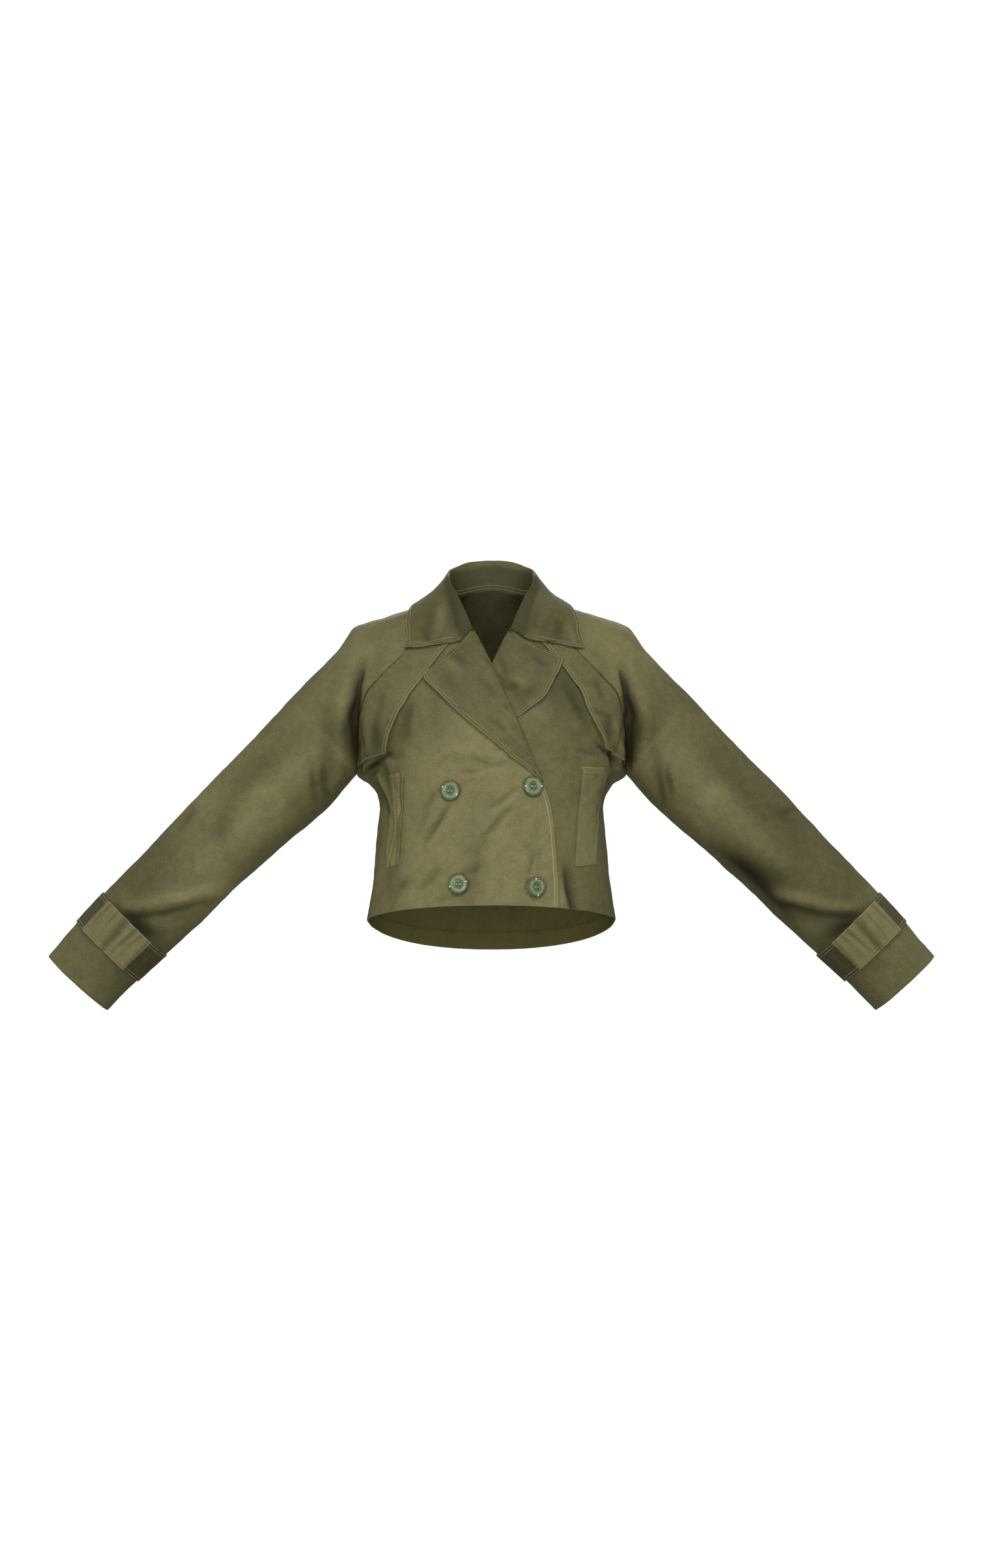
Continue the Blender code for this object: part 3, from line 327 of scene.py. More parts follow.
# Smaller and sharper creases laid over them, the same way.
CREASES = """
f -1.6 3  -60 -292 -78 -320 -95 -345
f  1.4 5  -53 -300 -69 -326 -85 -348
f -1.4 4  -75 -270 -86 -284 -97 -298
f -1.1 4  -90 -300 -98 -320 -106 -342
f -1.5 3   35 -268 15 -285 -6 -298
f -1.6 3.2 24 -298 6 -318 -12 -336
f  1.8 5   33 -300 15 -322 -1 -341
f  1.4 4   40 -276 20 -292 2 -305
f -0.8 2.5 -76 -240 -64 -227 -48 -221
f -0.9 2.5 -30 -221 -18 -231 0 -237 16 -236 34 -224
f  1.1 4   -4 -246 -24 -254 -48 -258
f -1.0 2.5 -42 -244 -30 -247 -16 -246
f -1.4 2.6 -6 -217 8 -215 22 -211 38 -205
f -1.2 2.2 -42 -387 -28 -384 -16 -380
f -1.4 2.2  50 -396 54 -378 60 -360
f -1.0 2.2  61 -377 65 -364 68 -352
f  1.0 3.0  56 -394 60 -374 66 -356
f -1.0 4 -116 -393 -124 -399 -132 -406
f -1.0 3.5 -73 -380 -84 -394 -104 -409
f -1.0 4  -45 -415 -60 -420 -78 -424
f -3.2 4  105 -380 108 -404 113 -426 119 -444
f -0.8 5   60 -320 62 -345 70 -372
f -0.5 5  -20 -350 -24 -380 -20 -412
f  0.9 5    2 -352 4 -384 0 -414
f -5.5 3.4 -182 -98 -187 -120 -189.5 -150 -191 -178 -190 -204 -188 -228 -190 -244
f -3.8 8 -196 -156 -204 -184 -198 -212
f -3.0 5 -184 -176 -180 -198 -175 -216
f  2.2 2.5 -188 -184 -186 -205 -182 -234
f -3.6 3.2 -178 -237 -168 -232 -156 -230
f -3.0 2.6 -175 -246 -168 -241 -160 -237
f -2.4 2.3 -166 -249 -157 -260 -151 -275 -146 -298
f -1.5 2.3 -152 -230 -147 -246 -143 -264
f  1.4 2.6 -160 -243 -152 -260 -147 -284
f -2.2 2.8 -133 -258 -130 -278 -128 -302
f -2.0 2.0 -149 -214 -142 -220 -132 -228
f -1.8 6 -112 -146 -118 -172 -121 -198
f -5.5 3.4 183 -100 188 -120 192 -150 192.5 -180 191 -205 194 -236
f -3.8 8  197 -148 206 -182 200 -212
f -3.6 2.6 188 -166 181 -194 174 -214
f  2.2 2.3 185 -198 183 -214 181 -232
f -4.5 3.2 170 -208 171 -221 172 -233
f -2.0 2.5 172 -240 168 -247 163 -256
f -1.8 6  104 -122 118 -150 136 -184
f -1.5 3  143 -96 150 -102 157 -112
f -1.2 3  120 -214 140 -219 158 -218
f -1.8 5 -395 -416 -430 -426 -462 -436 -500 -441 -526 -437
f -4.5 13 -528 -442 -506 -456 -478 -474
f  2.6 7 -400 -404 -440 -416 -480 -427 -520 -428
f -2.2 3.5 -254 -232 -251 -256 -249 -279
f -1.8 3.5 -237 -234 -234 -258 -230 -278
f -2.0 15 -370 -298 -384 -322 -380 -348
f  1.8 14 -334 -256 -318 -275 -300 -300
f -1.0 3 -470 -340 -482 -334 -494 -331
f -1.6 6 -420 -284 -432 -296 -440 -312
f -1.8 5  400 -424 430 -428 462 -436 500 -441 524 -437
f -3.8 2.6 -140 -217 -150 -221 -160 -225 -172 -232 -184 -239
f -3.4 2.6 146 -204 158 -211 170 -219 182 -227
f -4.5 13 528 -442 506 -456 478 -474
f  2.6 7  404 -408 440 -417 480 -428 520 -429
f -4.5 20 330 -360 372 -390 410 -410
f -1.8 4  416 -292 426 -286 436 -284
f -1.6 3.5 234 -236 238 -258 242 -280
f -1.8 4  248 -232 250 -252 254 -272
f  1.6 14  330 -262 316 -280 300 -304
b -1.4 4  -40 -120 -60 -132 -84 -140
b -1.4 4   44 -124 62 -136 86 -142
b -4.5 3.6 -185 -100 -191 -130 -193 -160 -192 -200
b -4.5 3.6 185 -100 191 -130 193 -160 192 -202
b -3.0 8 -197 -150 -205 -182 -199 -212
b -3.0 8  197 -150 205 -182 199 -212
b -2.0 3.4 -164 -246 -155 -270 -146 -298
b -2.0 3.4 165 -248 156 -268 148 -296
b -3.5 5 -420 -428 -446 -436 -474 -438 -505 -436
b -3.5 5  392 -422 424 -436 452 -442 500 -438
b -2.0 5  -30 -300 -18 -330 -14 -360
b -2.2 5   28 -380 34 -415 30 -455
b -2.0 5  -70 -292 -92 -322 -110 -340
b  1.6 6  -60 -300 -82 -332 -100 -352
b -1.6 5   70 -290 88 -316 104 -332
b -1.4 4  -30 -226 -6 -236 24 -232
b -1.6 3.5 -254 -232 -251 -256 -249 -279
b -1.6 3.5 252 -232 250 -256 248 -279
"""

# Creases of the pieces that lie on the panels: depth, half width, from x z to x z.
LAID_CREASES = """
piece              depth half   x0   z0   x1   z1
collar             -1.8   5     96  -20   92  -58
collar              1.0   3    108  -30  118  -64
collar             -1.4   5    -60   10  -52  -40
collar             -1.2   6    -84   -6  -92  -50
collar              1.0   5    -72    4  -74  -44
collar             -1.1   5     64    4   58  -40
collar             -1.3   3    -96  -40  -84  -66
collar             -1.0   4     84  -10   74  -44
collar             -1.2   2.5  102  -60   84  -64
lapel_right        -1.2   4    -58  -74  -30  -96
lapel_right         0.9   4    -66  -84  -38 -108
lapel_right        -1.0   3    -20 -112    6 -136
lapel_right        -0.9   5    -70 -112  -44 -132
lapel_right        -1.1   3     -8 -168   22 -190
lapel_right         0.8   3     14 -178   36 -200
lapel_left         -1.6   3.5    4 -108   22 -122
lapel_left         -1.3   3     14 -126   40 -128
lapel_left          1.0   3     20 -112   44 -118
lapel_left         -1.2   4     40 -140   62 -128
lapel_left         -1.0   4     56  -78   76  -96
storm_flap_right   -1.3   4   -150 -128 -158 -170
storm_flap_right   -2.2   5   -163 -174 -160 -214
storm_flap_right    1.2   4   -170 -170 -174 -216
storm_flap_right   -1.2   3   -134 -176 -146 -200
storm_flap_left    -1.4   4    146 -112  156 -150
storm_flap_left    -2.0   5    164 -166  162 -206
storm_flap_left     1.1   4    172 -164  176 -206
storm_flap_left    -1.3   3    140 -160  158 -164
"""


def table(text):
    """A text table as columns of numbers, by the names in its first row."""
    rows = [r.split() for r in text.strip().splitlines()]
    cols = list(zip(*[[float(v) for v in r] for r in rows[1:]]))
    return {n: np.array(c) for n, c in zip(rows[0], cols)}


def smooth(x, y, q):
    """Monotone cubic through the rows of a table: no overshoot between them."""
    h = np.diff(x)
    s = np.diff(y) / h
    d = np.zeros(len(x))
    for i in range(1, len(x) - 1):
        if s[i - 1] * s[i] > 0:
            a, b = 2 * h[i] + h[i - 1], h[i] + 2 * h[i - 1]
            d[i] = (a + b) / (a / s[i - 1] + b / s[i])
    d[0], d[-1] = s[0], s[-1]
    q = np.clip(q, x[0], x[-1])
    i = np.clip(np.searchsorted(x, q, side="right") - 1, 0, len(x) - 2)
    u = (q - x[i]) / h[i]
    return ((2 * u**3 - 3 * u**2 + 1) * y[i] + (u**3 - 2 * u**2 + u) * h[i] * d[i]
            + (3 * u**2 - 2 * u**3) * y[i + 1] + (u**3 - u**2) * h[i] * d[i + 1])


def at(tab, t, *names):
    """The named columns of a table, read smoothly at t of its first column."""
    k = next(iter(tab))
    return np.stack([smooth(tab[k], tab[n], t) for n in names], -1)


def bezier(a, b, c, d, u):
    """Point at share u of the curve from a to d, pulled towards b and c."""
    u = u[..., None]
    return a * (1 - u)**3 + 3 * b * u * (1 - u)**2 + 3 * c * u**2 * (1 - u) + d * u**3


def unit(v):
    """Vectors at length 1."""
    return v / np.maximum(np.linalg.norm(v, axis=-1, keepdims=True), 1e-9)


def step(d, a, b):
    """0 before a, 1 after b, soft between."""
    u = np.clip((d - a) / (b - a), 0, 1)
    return u * u * (3 - 2 * u)


def hump(d, middle, half):
    """1 at the middle, fading to both sides over about twice half."""
    return np.exp(-((d - middle) / half)**2)


FRONT, BACK, YOKE, SLEEVE = map(table, (FRONT_ROWS, BACK_ROWS, YOKE_ROWS, SLEEVE_ROWS))
EDGE = table(EDGE_ROWS)


def torso(tab, c, t):
    """Point on the front or back at share c of the half ring (sign = side) and ring t."""
    c, t = np.broadcast_arrays(np.asarray(c, float), np.asarray(t, float))
    cy, cz, fx, fy, fz, turn, kc, kf = np.moveaxis(
        at(tab, t, "cy", "cz", "fx", "fy", "fz", "turn", "kc", "kf"), -1, 0)
    a = np.radians(turn)
    o = np.zeros_like(fx)
    p0 = np.stack([o, cy, cz], -1)
    p1 = np.stack([kc * fx, cy, cz], -1)
    p3 = np.stack([fx, fy, fz], -1)
    p2 = p3 - np.stack([kf * np.cos(a), kf * np.sin(a), 0.42 * (fz - cz)], -1)
    p = bezier(p0, p1, p2, p3, np.abs(c))
    p[..., 0] *= np.where(c < 0, -1, 1)
    return p


def sleeve(s, t, side):
    """Point on the sleeve: s 0 front seam, 0.5 top line, 1 back seam."""
    s, t = np.broadcast_arrays(np.asarray(s, float), np.asarray(t, float))
    up = np.minimum(t, 1.0)
    dn = np.maximum(t, 1.0)
    high = (t <= 1.0)[..., None]
    f = np.where(high, at(FRONT, up, "fx", "fy", "fz"), at(SLEEVE, dn, "kx", "ky", "kz"))
    b = np.where(high, at(BACK, up, "fx", "fy", "fz"), f)
    top = np.where(high, at(YOKE, up, "sx", "sy", "sz"), at(SLEEVE, dn, "sx", "sy", "sz"))
    o = np.zeros_like(t)
    df, db = np.moveaxis(at(SLEEVE, dn, "df", "db"), -1, 0)
    vf = np.where(high, at(YOKE, up, "fx", "fy", "fz"), np.stack([o, -df * 4 / 3, o], -1))
    vg = np.where(high, at(YOKE, up, "gx", "gy", "gz"), np.stack([o, -df * 4 / 3, o], -1))
    vh = np.where(high, at(YOKE, up, "hx", "hy", "hz"), np.stack([o, db * 4 / 3, o], -1))
    vb = np.where(high, at(YOKE, up, "bx", "by", "bz"), np.stack([o, db * 4 / 3, o], -1))
    p = np.where((s <= 0.5)[..., None],
                 bezier(f, f + vf, top + vg, top, np.clip(2 * s, 0, 1)),
                 bezier(top, top + vh, b + vb, b, np.clip(2 * s - 1, 0, 1)))
    p[..., 0] *= side
    return p


def facing(fn, u, v, out):
    """Outward normal of a surface, out = rough outward direction from the inside point."""
    e = 2e-3
    du = fn(np.clip(u + e, -1, 1), v) - fn(np.clip(u - e, -1, 1), v)
    dv = fn(u, np.clip(v + e, 0, 2)) - fn(u, np.clip(v - e, 0, 2))
    n = unit(np.cross(du, dv))
    flip = np.sum(n * out, -1, keepdims=True) < 0
    return np.where(flip, -n, n)


def axis_of(p, t, arm):
    """A point inside the coat beside p, to tell outside from inside."""
    if not arm:
        return np.stack([p[..., 0] * 0.55, p[..., 1] * 0, p[..., 2] - 25], -1)
    up, dn = np.minimum(t, 1.0), np.maximum(t, 1.0)
    a = at(YOKE, up, "sx", "sy", "sz") * [0.8, 1, 1] + [0, 0, -70]
    b = (at(SLEEVE, dn, "sx", "sy", "sz") + at(SLEEVE, dn, "kx", "ky", "kz")) / 2
    q = np.where((t < 1)[..., None], a + (b - a) * (up**3)[..., None], b)
    return q * np.stack([np.sign(p[..., 0]), p[..., 0] * 0 + 1, p[..., 0] * 0 + 1], -1)


def front_n(c, t):
    """Point and outward facing on the front; back_n and sleeve_n say the same of theirs."""
    p = torso(FRONT, c, t)
    return p, facing(lambda a, b: torso(FRONT, a, b), c, t, p - axis_of(p, t, False))


def back_n(c, t):
    p = torso(BACK, c, t)
    return p, facing(lambda a, b: torso(BACK, a, b), c, t, p - axis_of(p, t, False))


def sleeve_n(s, t, side):
    p = sleeve(s, t, side)
    return p, facing(lambda a, b: sleeve(np.clip(a, 0, 1), b, side), s, t,
                     p - axis_of(p, t, True))


def fold_paths(text):
    """Rows of folds as (side seen from, depth, half width, path in x and z)."""
    out = []
    for row in text.strip().splitlines():
        w = row.split()
        v = np.array([float(q) for q in w[3:]]).reshape(-1, 2)
        out.append((-1 if w[0] == "f" else 1, float(w[1]), float(w[2]), v))
    return out


MAIN_FOLDS, SMALL_CREASES = fold_paths(FOLDS), fold_paths(CREASES)


def crease(p, n, paths):
    """How far the folds push the cloth out at point p with facing n."""
    total = np.zeros(p.shape[:-1])
    q = p[..., [0, 2]]
    for way, depth, half, path in paths:
        lo, hi = path.min(0) - 4 * half, path.max(0) + 4 * half
        near_it = np.all((q > lo) & (q < hi), -1)
        if not near_it.any():
            continue
        k = q[near_it]
        best = np.full(len(k), 1e9)
        share = np.zeros(len(k))
        seg = np.linalg.norm(np.diff(path, axis=0), axis=1)
        run = np.concatenate([[0], np.cumsum(seg)])
        for i in range(len(seg)):
            d = path[i + 1] - path[i]
            u = np.clip(((k - path[i]) @ d) / (seg[i]**2), 0, 1)
            r = np.linalg.norm(k - path[i] - u[..., None] * d, axis=-1)
            near = r < best
            best = np.where(near, r, best)
            share = np.where(near, (run[i] + u * seg[i]) / run[-1], share)
        x = best / half
        face = np.clip(n[near_it][:, 1] * way / 0.45, 0, 1)
        fade = np.sin(np.pi * np.clip(0.06 + 0.88 * share, 0, 1))**0.6
        total[near_it] += (depth * np.exp(-0.5 * x * x) * (1 - 0.28 * x * x)
                           * face * fade * (x < 4))
    return total


def laid_creases(piece, g):
    """Height of the creases listed for a laid piece, at its points seen from the front."""
    total = np.zeros(g.shape[:2])
    for row in LAID_CREASES.strip().splitlines()[1:]:
        name, depth, half, *ends = row.split()
        if name != piece:
            continue
        a, b = np.array([float(v) for v in ends]).reshape(2, 2)
        q = g[..., [0, 2]] - a
        u = np.clip(q @ (b - a) / np.sum((b - a)**2), 0, 1)
        far = np.linalg.norm(q - u[..., None] * (b - a), axis=-1)
        fade = np.sin(np.pi * (0.06 + 0.88 * u))**0.6
        total += float(depth) * np.exp(-0.5 * (far / float(half))**2) * fade
    return total


LATTICE = np.random.default_rng(5)
SLOPES = unit(LATTICE.normal(size=(256, 3)))
SHUFFLE = LATTICE.permutation(256)


def wander(p, size, seed):
    """Slow uneven swell of cloth, about -1 to 1, the same wherever two panels meet."""
    q = p / size + seed * np.array([1.0, 1.7, 2.3])
    i = np.floor(q).astype(int)
    f = q - i
    w = f**3 * (f * (f * 6 - 15) + 10)
    total = 0
    for corner in np.ndindex(2, 2, 2):
        k, on = i + corner, np.array(corner) == 1
        pick = SHUFFLE[(SHUFFLE[(SHUFFLE[k[..., 0] % 256] + k[..., 1]) % 256] + k[..., 2]) % 256]
        total = total + (np.prod(np.where(on, w, 1 - w), -1)
                         * np.sum(SLOPES[pick] * (f - corner), -1))
    return total * 1.5


def drag(p):
    """Long soft streaks: down to the wearer's right on the body, along each sleeve."""
    x, y, z = p[..., 0], p[..., 1] * 0.6, p[..., 2]
    a, b = (x + z) * 0.7071, (x - z) * 0.7071
    w = step(x, 110, 210)
    total = 0
    for size, share in ((19, 0.75), (9, 0.33), (5, 0.12)):
        one = wander(np.stack([a * 0.22, y, b], -1), size, 4.4)
        two = wander(np.stack([b * 0.22, y, a], -1), size, 7.9)
        total = total + share * (one * (1 - w) + two * w)
    return total


def folded(p, n):
    """The folds' own height, and the painted shade in their troughs and painted light on their
    ridges.
    """
    broad, small = crease(p, n, MAIN_FOLDS), crease(p, n, SMALL_CREASES)
    return broad + 1.7 * small, np.clip(0.10 * broad + 0.27 * small, -1.3, 0.35)


def rumple(p):
    """The cloth's own unevenness between its folds."""
    off = 0.6 * wander(p, 46, 3.7) + 0.55 * wander(p, 19, 9.1) + 0.17 * wander(p, 7.5, 2.2)
    return off + 1.5 * drag(p)


def edge_x(z):
    """The right front's edge at height z."""
    return smooth(EDGE["z"][::-1], EDGE["x"][::-1], z)


def find_on_front(x, z):
    """c (signed) and t of the front's points that show at x, z."""
    x, z = np.broadcast_arrays(np.asarray(x, float), np.asarray(z, float))
    side = np.where(x < 0, -1.0, 1.0)
    q = np.stack([np.abs(x), z], -1).reshape(-1, 2)
    cs, ts = np.meshgrid(np.linspace(0, 1, 60), np.linspace(0, 2, 110), indexing="ij")
    grid = torso(FRONT, cs, ts)[..., [0, 2]].reshape(-1, 2)
    k = np.concatenate([np.argmin(((grid[None] - b[:, None])**2).sum(-1), 1)
                        for b in np.array_split(q, max(1, len(q) // 400))])
    c, t = cs.ravel()[k], ts.ravel()[k]
    for _ in range(10):
        e = 1e-3
        p = torso(FRONT, c, t)[..., [0, 2]]
        c1, c0 = np.minimum(c + e, 1), np.maximum(c - e, 0)
        t1, t0 = np.minimum(t + e, 2), np.maximum(t - e, 0)
        a = (torso(FRONT, c1, t) - torso(FRONT, c0, t))[..., [0, 2]] / (c1 - c0)[:, None]
        b = (torso(FRONT, c, t1) - torso(FRONT, c, t0))[..., [0, 2]] / (t1 - t0)[:, None]
        det = a[:, 0] * b[:, 1] - a[:, 1] * b[:, 0]
        det = np.where(np.abs(det) < 1e-6, 1e9, det)
        r = q - p
        dc = (r[:, 0] * b[:, 1] - r[:, 1] * b[:, 0]) / det
        dt = (a[:, 0] * r[:, 1] - a[:, 1] * r[:, 0]) / det
        c = np.clip(c + np.clip(dc, -.05, .05), 0, 1)
        t = np.clip(t + np.clip(dt, -.05, .05), 0, 2)
    return c.reshape(x.shape) * side, t.reshape(x.shape)


def under(p):
    """The left front passes under the right one: how far it sits in."""
    return -5.0 * (1 - step(p[..., 0] - edge_x(p[..., 2]), 3, 33))


# ------------------------------------------------------------------ cloth as a mesh
OUTER = {}               # each piece's outer face: grid, facing, in millimetres
COLUMNS = {}             # each panel's column places, row by row
SHEETS = []              # what is stated of each piece as a sheet, at the end


def normals(g, closed=False):
    """A grid's facings; closed = its columns run right round."""
    du = np.roll(g, -1, 1) - np.roll(g, 1, 1) if closed else np.gradient(g, axis=1)
    return unit(np.cross(du, np.gradient(g, axis=0)))


def outwards(g, n, closed=False):
    """A grid's facings, turned to the same side as n."""
    m = normals(g, closed)
    return np.where(np.sum(m * n, -1, keepdims=True) < 0, -m, m)


def run_length(g, axis):
    """Length run along a grid's rows or columns, from 0."""
    d = np.linalg.norm(np.diff(g, axis=axis), axis=-1)
    pad = [(0, 0), (0, 0)]
    pad[axis] = (1, 0)
    return np.cumsum(np.pad(d, pad), axis=axis)


def put_in_scene(name, data):
    """A new object that holds this mesh, lamp or camera."""
    ob = bpy.data.objects.new(name, data)
    bpy.context.scene.collection.objects.link(ob)
    return ob


def cloth_piece(name, outer, n, wall, closed=False, rim=(0, 0, 0, 0), edge=0.0,
                held="draped", behind=0.0, seam=0.0, painted_shading=0.0, within=0.0, rests=()):
    """A closed wall of cloth. rim = how far the edge swells at first row, last row,
    first column, last column; edge = 0..1 where the cloth is turned, painted paler there
    for wear and as a painted highlight; seam = 0..1 where it is sewn, painted darker there
    as painted shade in the seam; behind = a second layer's thickness; tone and within =
    painted shade and light outside and inside."""
    r, c = outer.shape[:2]
    inner = outer - n * (wall + behind + np.zeros((r, c)))[..., None]
    idx = np.arange(r * c).reshape(r, c)
    wrap = (lambda j: np.roll(j, -1, 1)) if closed else (lambda j: j[:, 1:])
    cut = slice(None) if closed else slice(None, -1)
    a, b = idx[:-1, cut], wrap(idx)[:-1]
    d, e = idx[1:, cut], wrap(idx)[1:]
    k = r * c
    quads = [np.stack([a, b, e, d], -1).reshape(-1, 4),
             np.stack([a, d, e, b], -1).reshape(-1, 4) + k]
    look_of = [np.zeros(len(quads[0]), int), np.ones(len(quads[1]), int)]
    mid = (outer + inner) / 2
    away0, away1 = unit(outer[0] - outer[1]), unit(outer[-1] - outer[-2])
    if closed:
        rims = [mid[0] + away0 * rim[0], mid[-1] + away1 * rim[1]]
        loops = [(idx[0], np.roll(idx[0], -1)), (idx[-1][::-1], np.roll(idx[-1][::-1], -1))]
        rims[1] = rims[1][::-1]
    else:
        left, right = unit(outer[:, 0] - outer[:, 1]), unit(outer[:, -1] - outer[:, -2])
        push = np.zeros_like(outer)
        push[0] += away0 * rim[0]
        push[-1] += away1 * rim[1]
        push[:, 0] += left * rim[2]
        push[:, -1] += right * rim[3]
        way = np.concatenate([idx[0, :-1], idx[:-1, -1], idx[-1, :0:-1], idx[:0:-1, 0]])
        rims = [(mid + push).reshape(-1, 3)[way]]
        loops = [(way, np.roll(way, -1))]
    verts = [outer.reshape(-1, 3), inner.reshape(-1, 3)]
    uv_u, uv_v = run_length(outer, 1), run_length(outer, 0)
    uv_v = uv_v.mean(1, keepdims=True) + 0 * uv_u
    uv = np.stack([uv_u, uv_v], -1).reshape(-1, 2) * MM
    uvs = [uv, uv]
    # each piece's painted shade and light from the table above is added here
    painted_shading = painted_shading + sum(v for key, v in PIECE_PAINTED_SHADING.items() if name.startswith(key))
    # these marks paint light and shade into the twill's colour: turned edges paler (wear and
    # painted highlight), seams darker as painted shade, and each place's painted shade and light
    marks = {"turned": (edge, edge), "seam": (seam, seam), "painted_shading": (painted_shading, painted_shading + within)}
    marks = {key: [(v + np.zeros((r, c))).reshape(-1) for v in both]
             for key, both in marks.items()}
    at_ = 2 * k
    for pts, (here, there) in zip(rims, loops):
        m = len(pts)
        q = np.arange(m) + at_
        q2 = np.roll(q, -1)
        quads.append(np.stack([here, q, q2, there], -1))
        quads.append(np.stack([q, here + k, there + k, q2], -1))
        look_of += [np.zeros(m, int), np.zeros(m, int)]
        verts.append(pts)
        uvs.append(uv[here])
        for key in marks:
            marks[key].append(marks[key][0][here])
        at_ += m
    verts, quads = np.concatenate(verts) * MM, np.concatenate(quads)
    tri = np.concatenate([quads[:, [0, 1, 2]], quads[:, [0, 2, 3]]])
    vol = np.einsum("ij,ij->i", verts[tri[:, 0]], np.cross(verts[tri[:, 1]], verts[tri[:, 2]]))
    if vol.sum() < 0:
        quads = quads[:, ::-1]
    me = bpy.data.meshes.new("cloth_" + name)
    me.from_pydata(verts.tolist(), [], quads.tolist())
    me.update()
    lay = me.uv_layers.new(name="weave")
    corner = np.empty(len(me.loops), dtype=np.int32)
    me.loops.foreach_get("vertex_index", corner)
    lay.data.foreach_set("uv", np.concatenate(uvs)[corner].astype(np.float32).ravel())
    for key, parts in marks.items():
        att = me.attributes.new(key, "FLOAT", "POINT")
        att.data.foreach_set("value", np.concatenate(parts).astype(np.float32))
    me.materials.append(twill)
    # the inside faces take the twill painted darker, for the shade inside the coat
    me.materials.append(inside_twill_painted_shade)
    me.polygons.foreach_set("material_index", np.concatenate(look_of).astype(np.int32))
    me.polygons.foreach_set("use_smooth", np.ones(len(me.polygons), dtype=bool))
    ob = put_in_scene("cloth_" + name, me)
    OUTER[name] = (outer, n)
    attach(ob, "root")
    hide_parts(name)
    cell = np.linalg.norm(np.cross(outer[1:, 1:] - outer[:-1, :-1],
                                   outer[1:, :-1] - outer[:-1, 1:]), axis=-1) / 2
    area = cell.sum() * 1e-6
    wide, long_ = uv_u[:, -1].max() * MM, uv_v.max() * MM
    SHEETS.append((ob, name, wide, long_, area, held, rests))


def even_columns(fn, start, end, t, count, near_start, near_end):
    """Column places per row at even lengths, closer together beside both edges."""
    u = np.linspace(0, 1, 121)
    s = start[:, None] + (end - start)[:, None] * u
    run = run_length(fn(s, t[:, None] + 0 * s), 1)
    out = np.empty((len(t), count))
    inner = count - len(near_start) - len(near_end)
    for i, total in enumerate(run[:, -1]):
        a, b = np.array(near_start), total - np.array(near_end)[::-1]
        mid = np.linspace(a[-1], b[0], inner + 2)[1:-1]
        out[i] = np.interp(np.concatenate([a, mid, b]), run[i], s[i])
    return out


# How far from a seam, and from a turned and stitched edge, a grid has its first lines.
NEAR_SEAM = (0, 0.7, 1.5, 2.6, 4.2, 6.5)
NEAR_EDGE = (0, 0.5, 1.2, 2.2, 3.4, 4.6, 5.2, 5.8, 6.6, 8.0)
WELT_NEAR_OPENING = (0, 0.6, 1.4, 2.6, 4.0)
WELT_NEAR_SEWN = (0, 0.5, 1.2, 2.2, 3.4, 5.0)
# Rings that carry the panels' rows: neck to underarm, then down the body or the sleeve.
T_YOKE = np.concatenate([[0.003], np.linspace(0.02, 0.48, 34)[:-1], np.linspace(0.48, 1.0, 66)])
HEM_LINES = [1.90, 1.908, 1.916, 1.924, 1.932, 1.944, 1.958, 1.972, 1.982, 1.990, 1.996, 2.0]
T_BODY = np.concatenate([np.linspace(1.010, 1.28, 34)[:-1], np.linspace(1.28, 1.888, 44),
                         HEM_LINES])
T_ARM = np.concatenate([np.linspace(1.005, 1.93, 142), [1.938, 1.945, 1.952, 1.958, 1.964,
                                                        1.972, 1.98, 1.987, 1.993, 1.997, 2.0]])
T_TORSO = np.concatenate([T_YOKE, T_BODY])
T_SLEEVE = np.concatenate([T_YOKE, T_ARM])
NY = len(T_YOKE)
UNDERARM = np.array([193.0, 2.0, -236.0])    # where raglan, side and underarm seams meet
CORNER = 9               # how far round that point the facings turn down
SHARED = 13              # how far from a seam both panels turn to the facing they share
BREAK = (-262, -240)     # heights between which the closing edge becomes the lapel's roll
ROLL_INSET = 1.6         # how far the front's edge stays inside the roll


def seam_sets(side):
    """The seams' points and the facing that both panels share there."""
    s = {}
    for key, s_at, nfun in (("f", 0.0, front_n), ("b", 1.0, back_n)):
        p, na = nfun(side * np.ones(NY), T_YOKE)
        _, nb = sleeve_n(s_at + np.zeros(NY), T_YOKE, side)
        s[key] = (p, unit(na + nb))
    p, na = front_n(side * np.ones(len(T_BODY)), T_BODY)
    _, nb = back_n(side * np.ones(len(T_BODY)), T_BODY)
    s["side"] = (p, unit(na + nb))
    p, na = sleeve_n(np.zeros(len(T_ARM)), T_ARM, side)
    _, nb = sleeve_n(np.ones(len(T_ARM)), T_ARM, side)
    s["arm"] = (p, unit(na + nb))
    p, na = sleeve_n(0.5 - 1e-4 + np.zeros(len(T_SLEEVE)), T_SLEEVE, side)
    _, nb = sleeve_n(0.5 + 1e-4 + np.zeros(len(T_SLEEVE)), T_SLEEVE, side)
    s["top"] = (p, unit(na + nb))
    down = unit(np.array([0.35 * side, 0.0, -0.94]))
    corner = UNDERARM * [side, 1, 1]
    for key in ("f", "b", "side", "arm"):
        p, n = s[key]
        w = np.exp(-(np.linalg.norm(p - corner, axis=1) / CORNER)**2)[:, None]
        s[key] = (p, unit(n * (1 - w) + down * w))
    return s


def sewn(d, along):
    """Section of the cloth beside a seam: it dips into the seam and puckers a little."""
    pucker = 1 + 0.35 * np.sin(along / 2.9 + 1.3 * np.sin(along / 11.0))
    return -0.85 * hump(d, 0, 1.3) + 0.28 * hump(d, 3.4, 2.0) * pucker


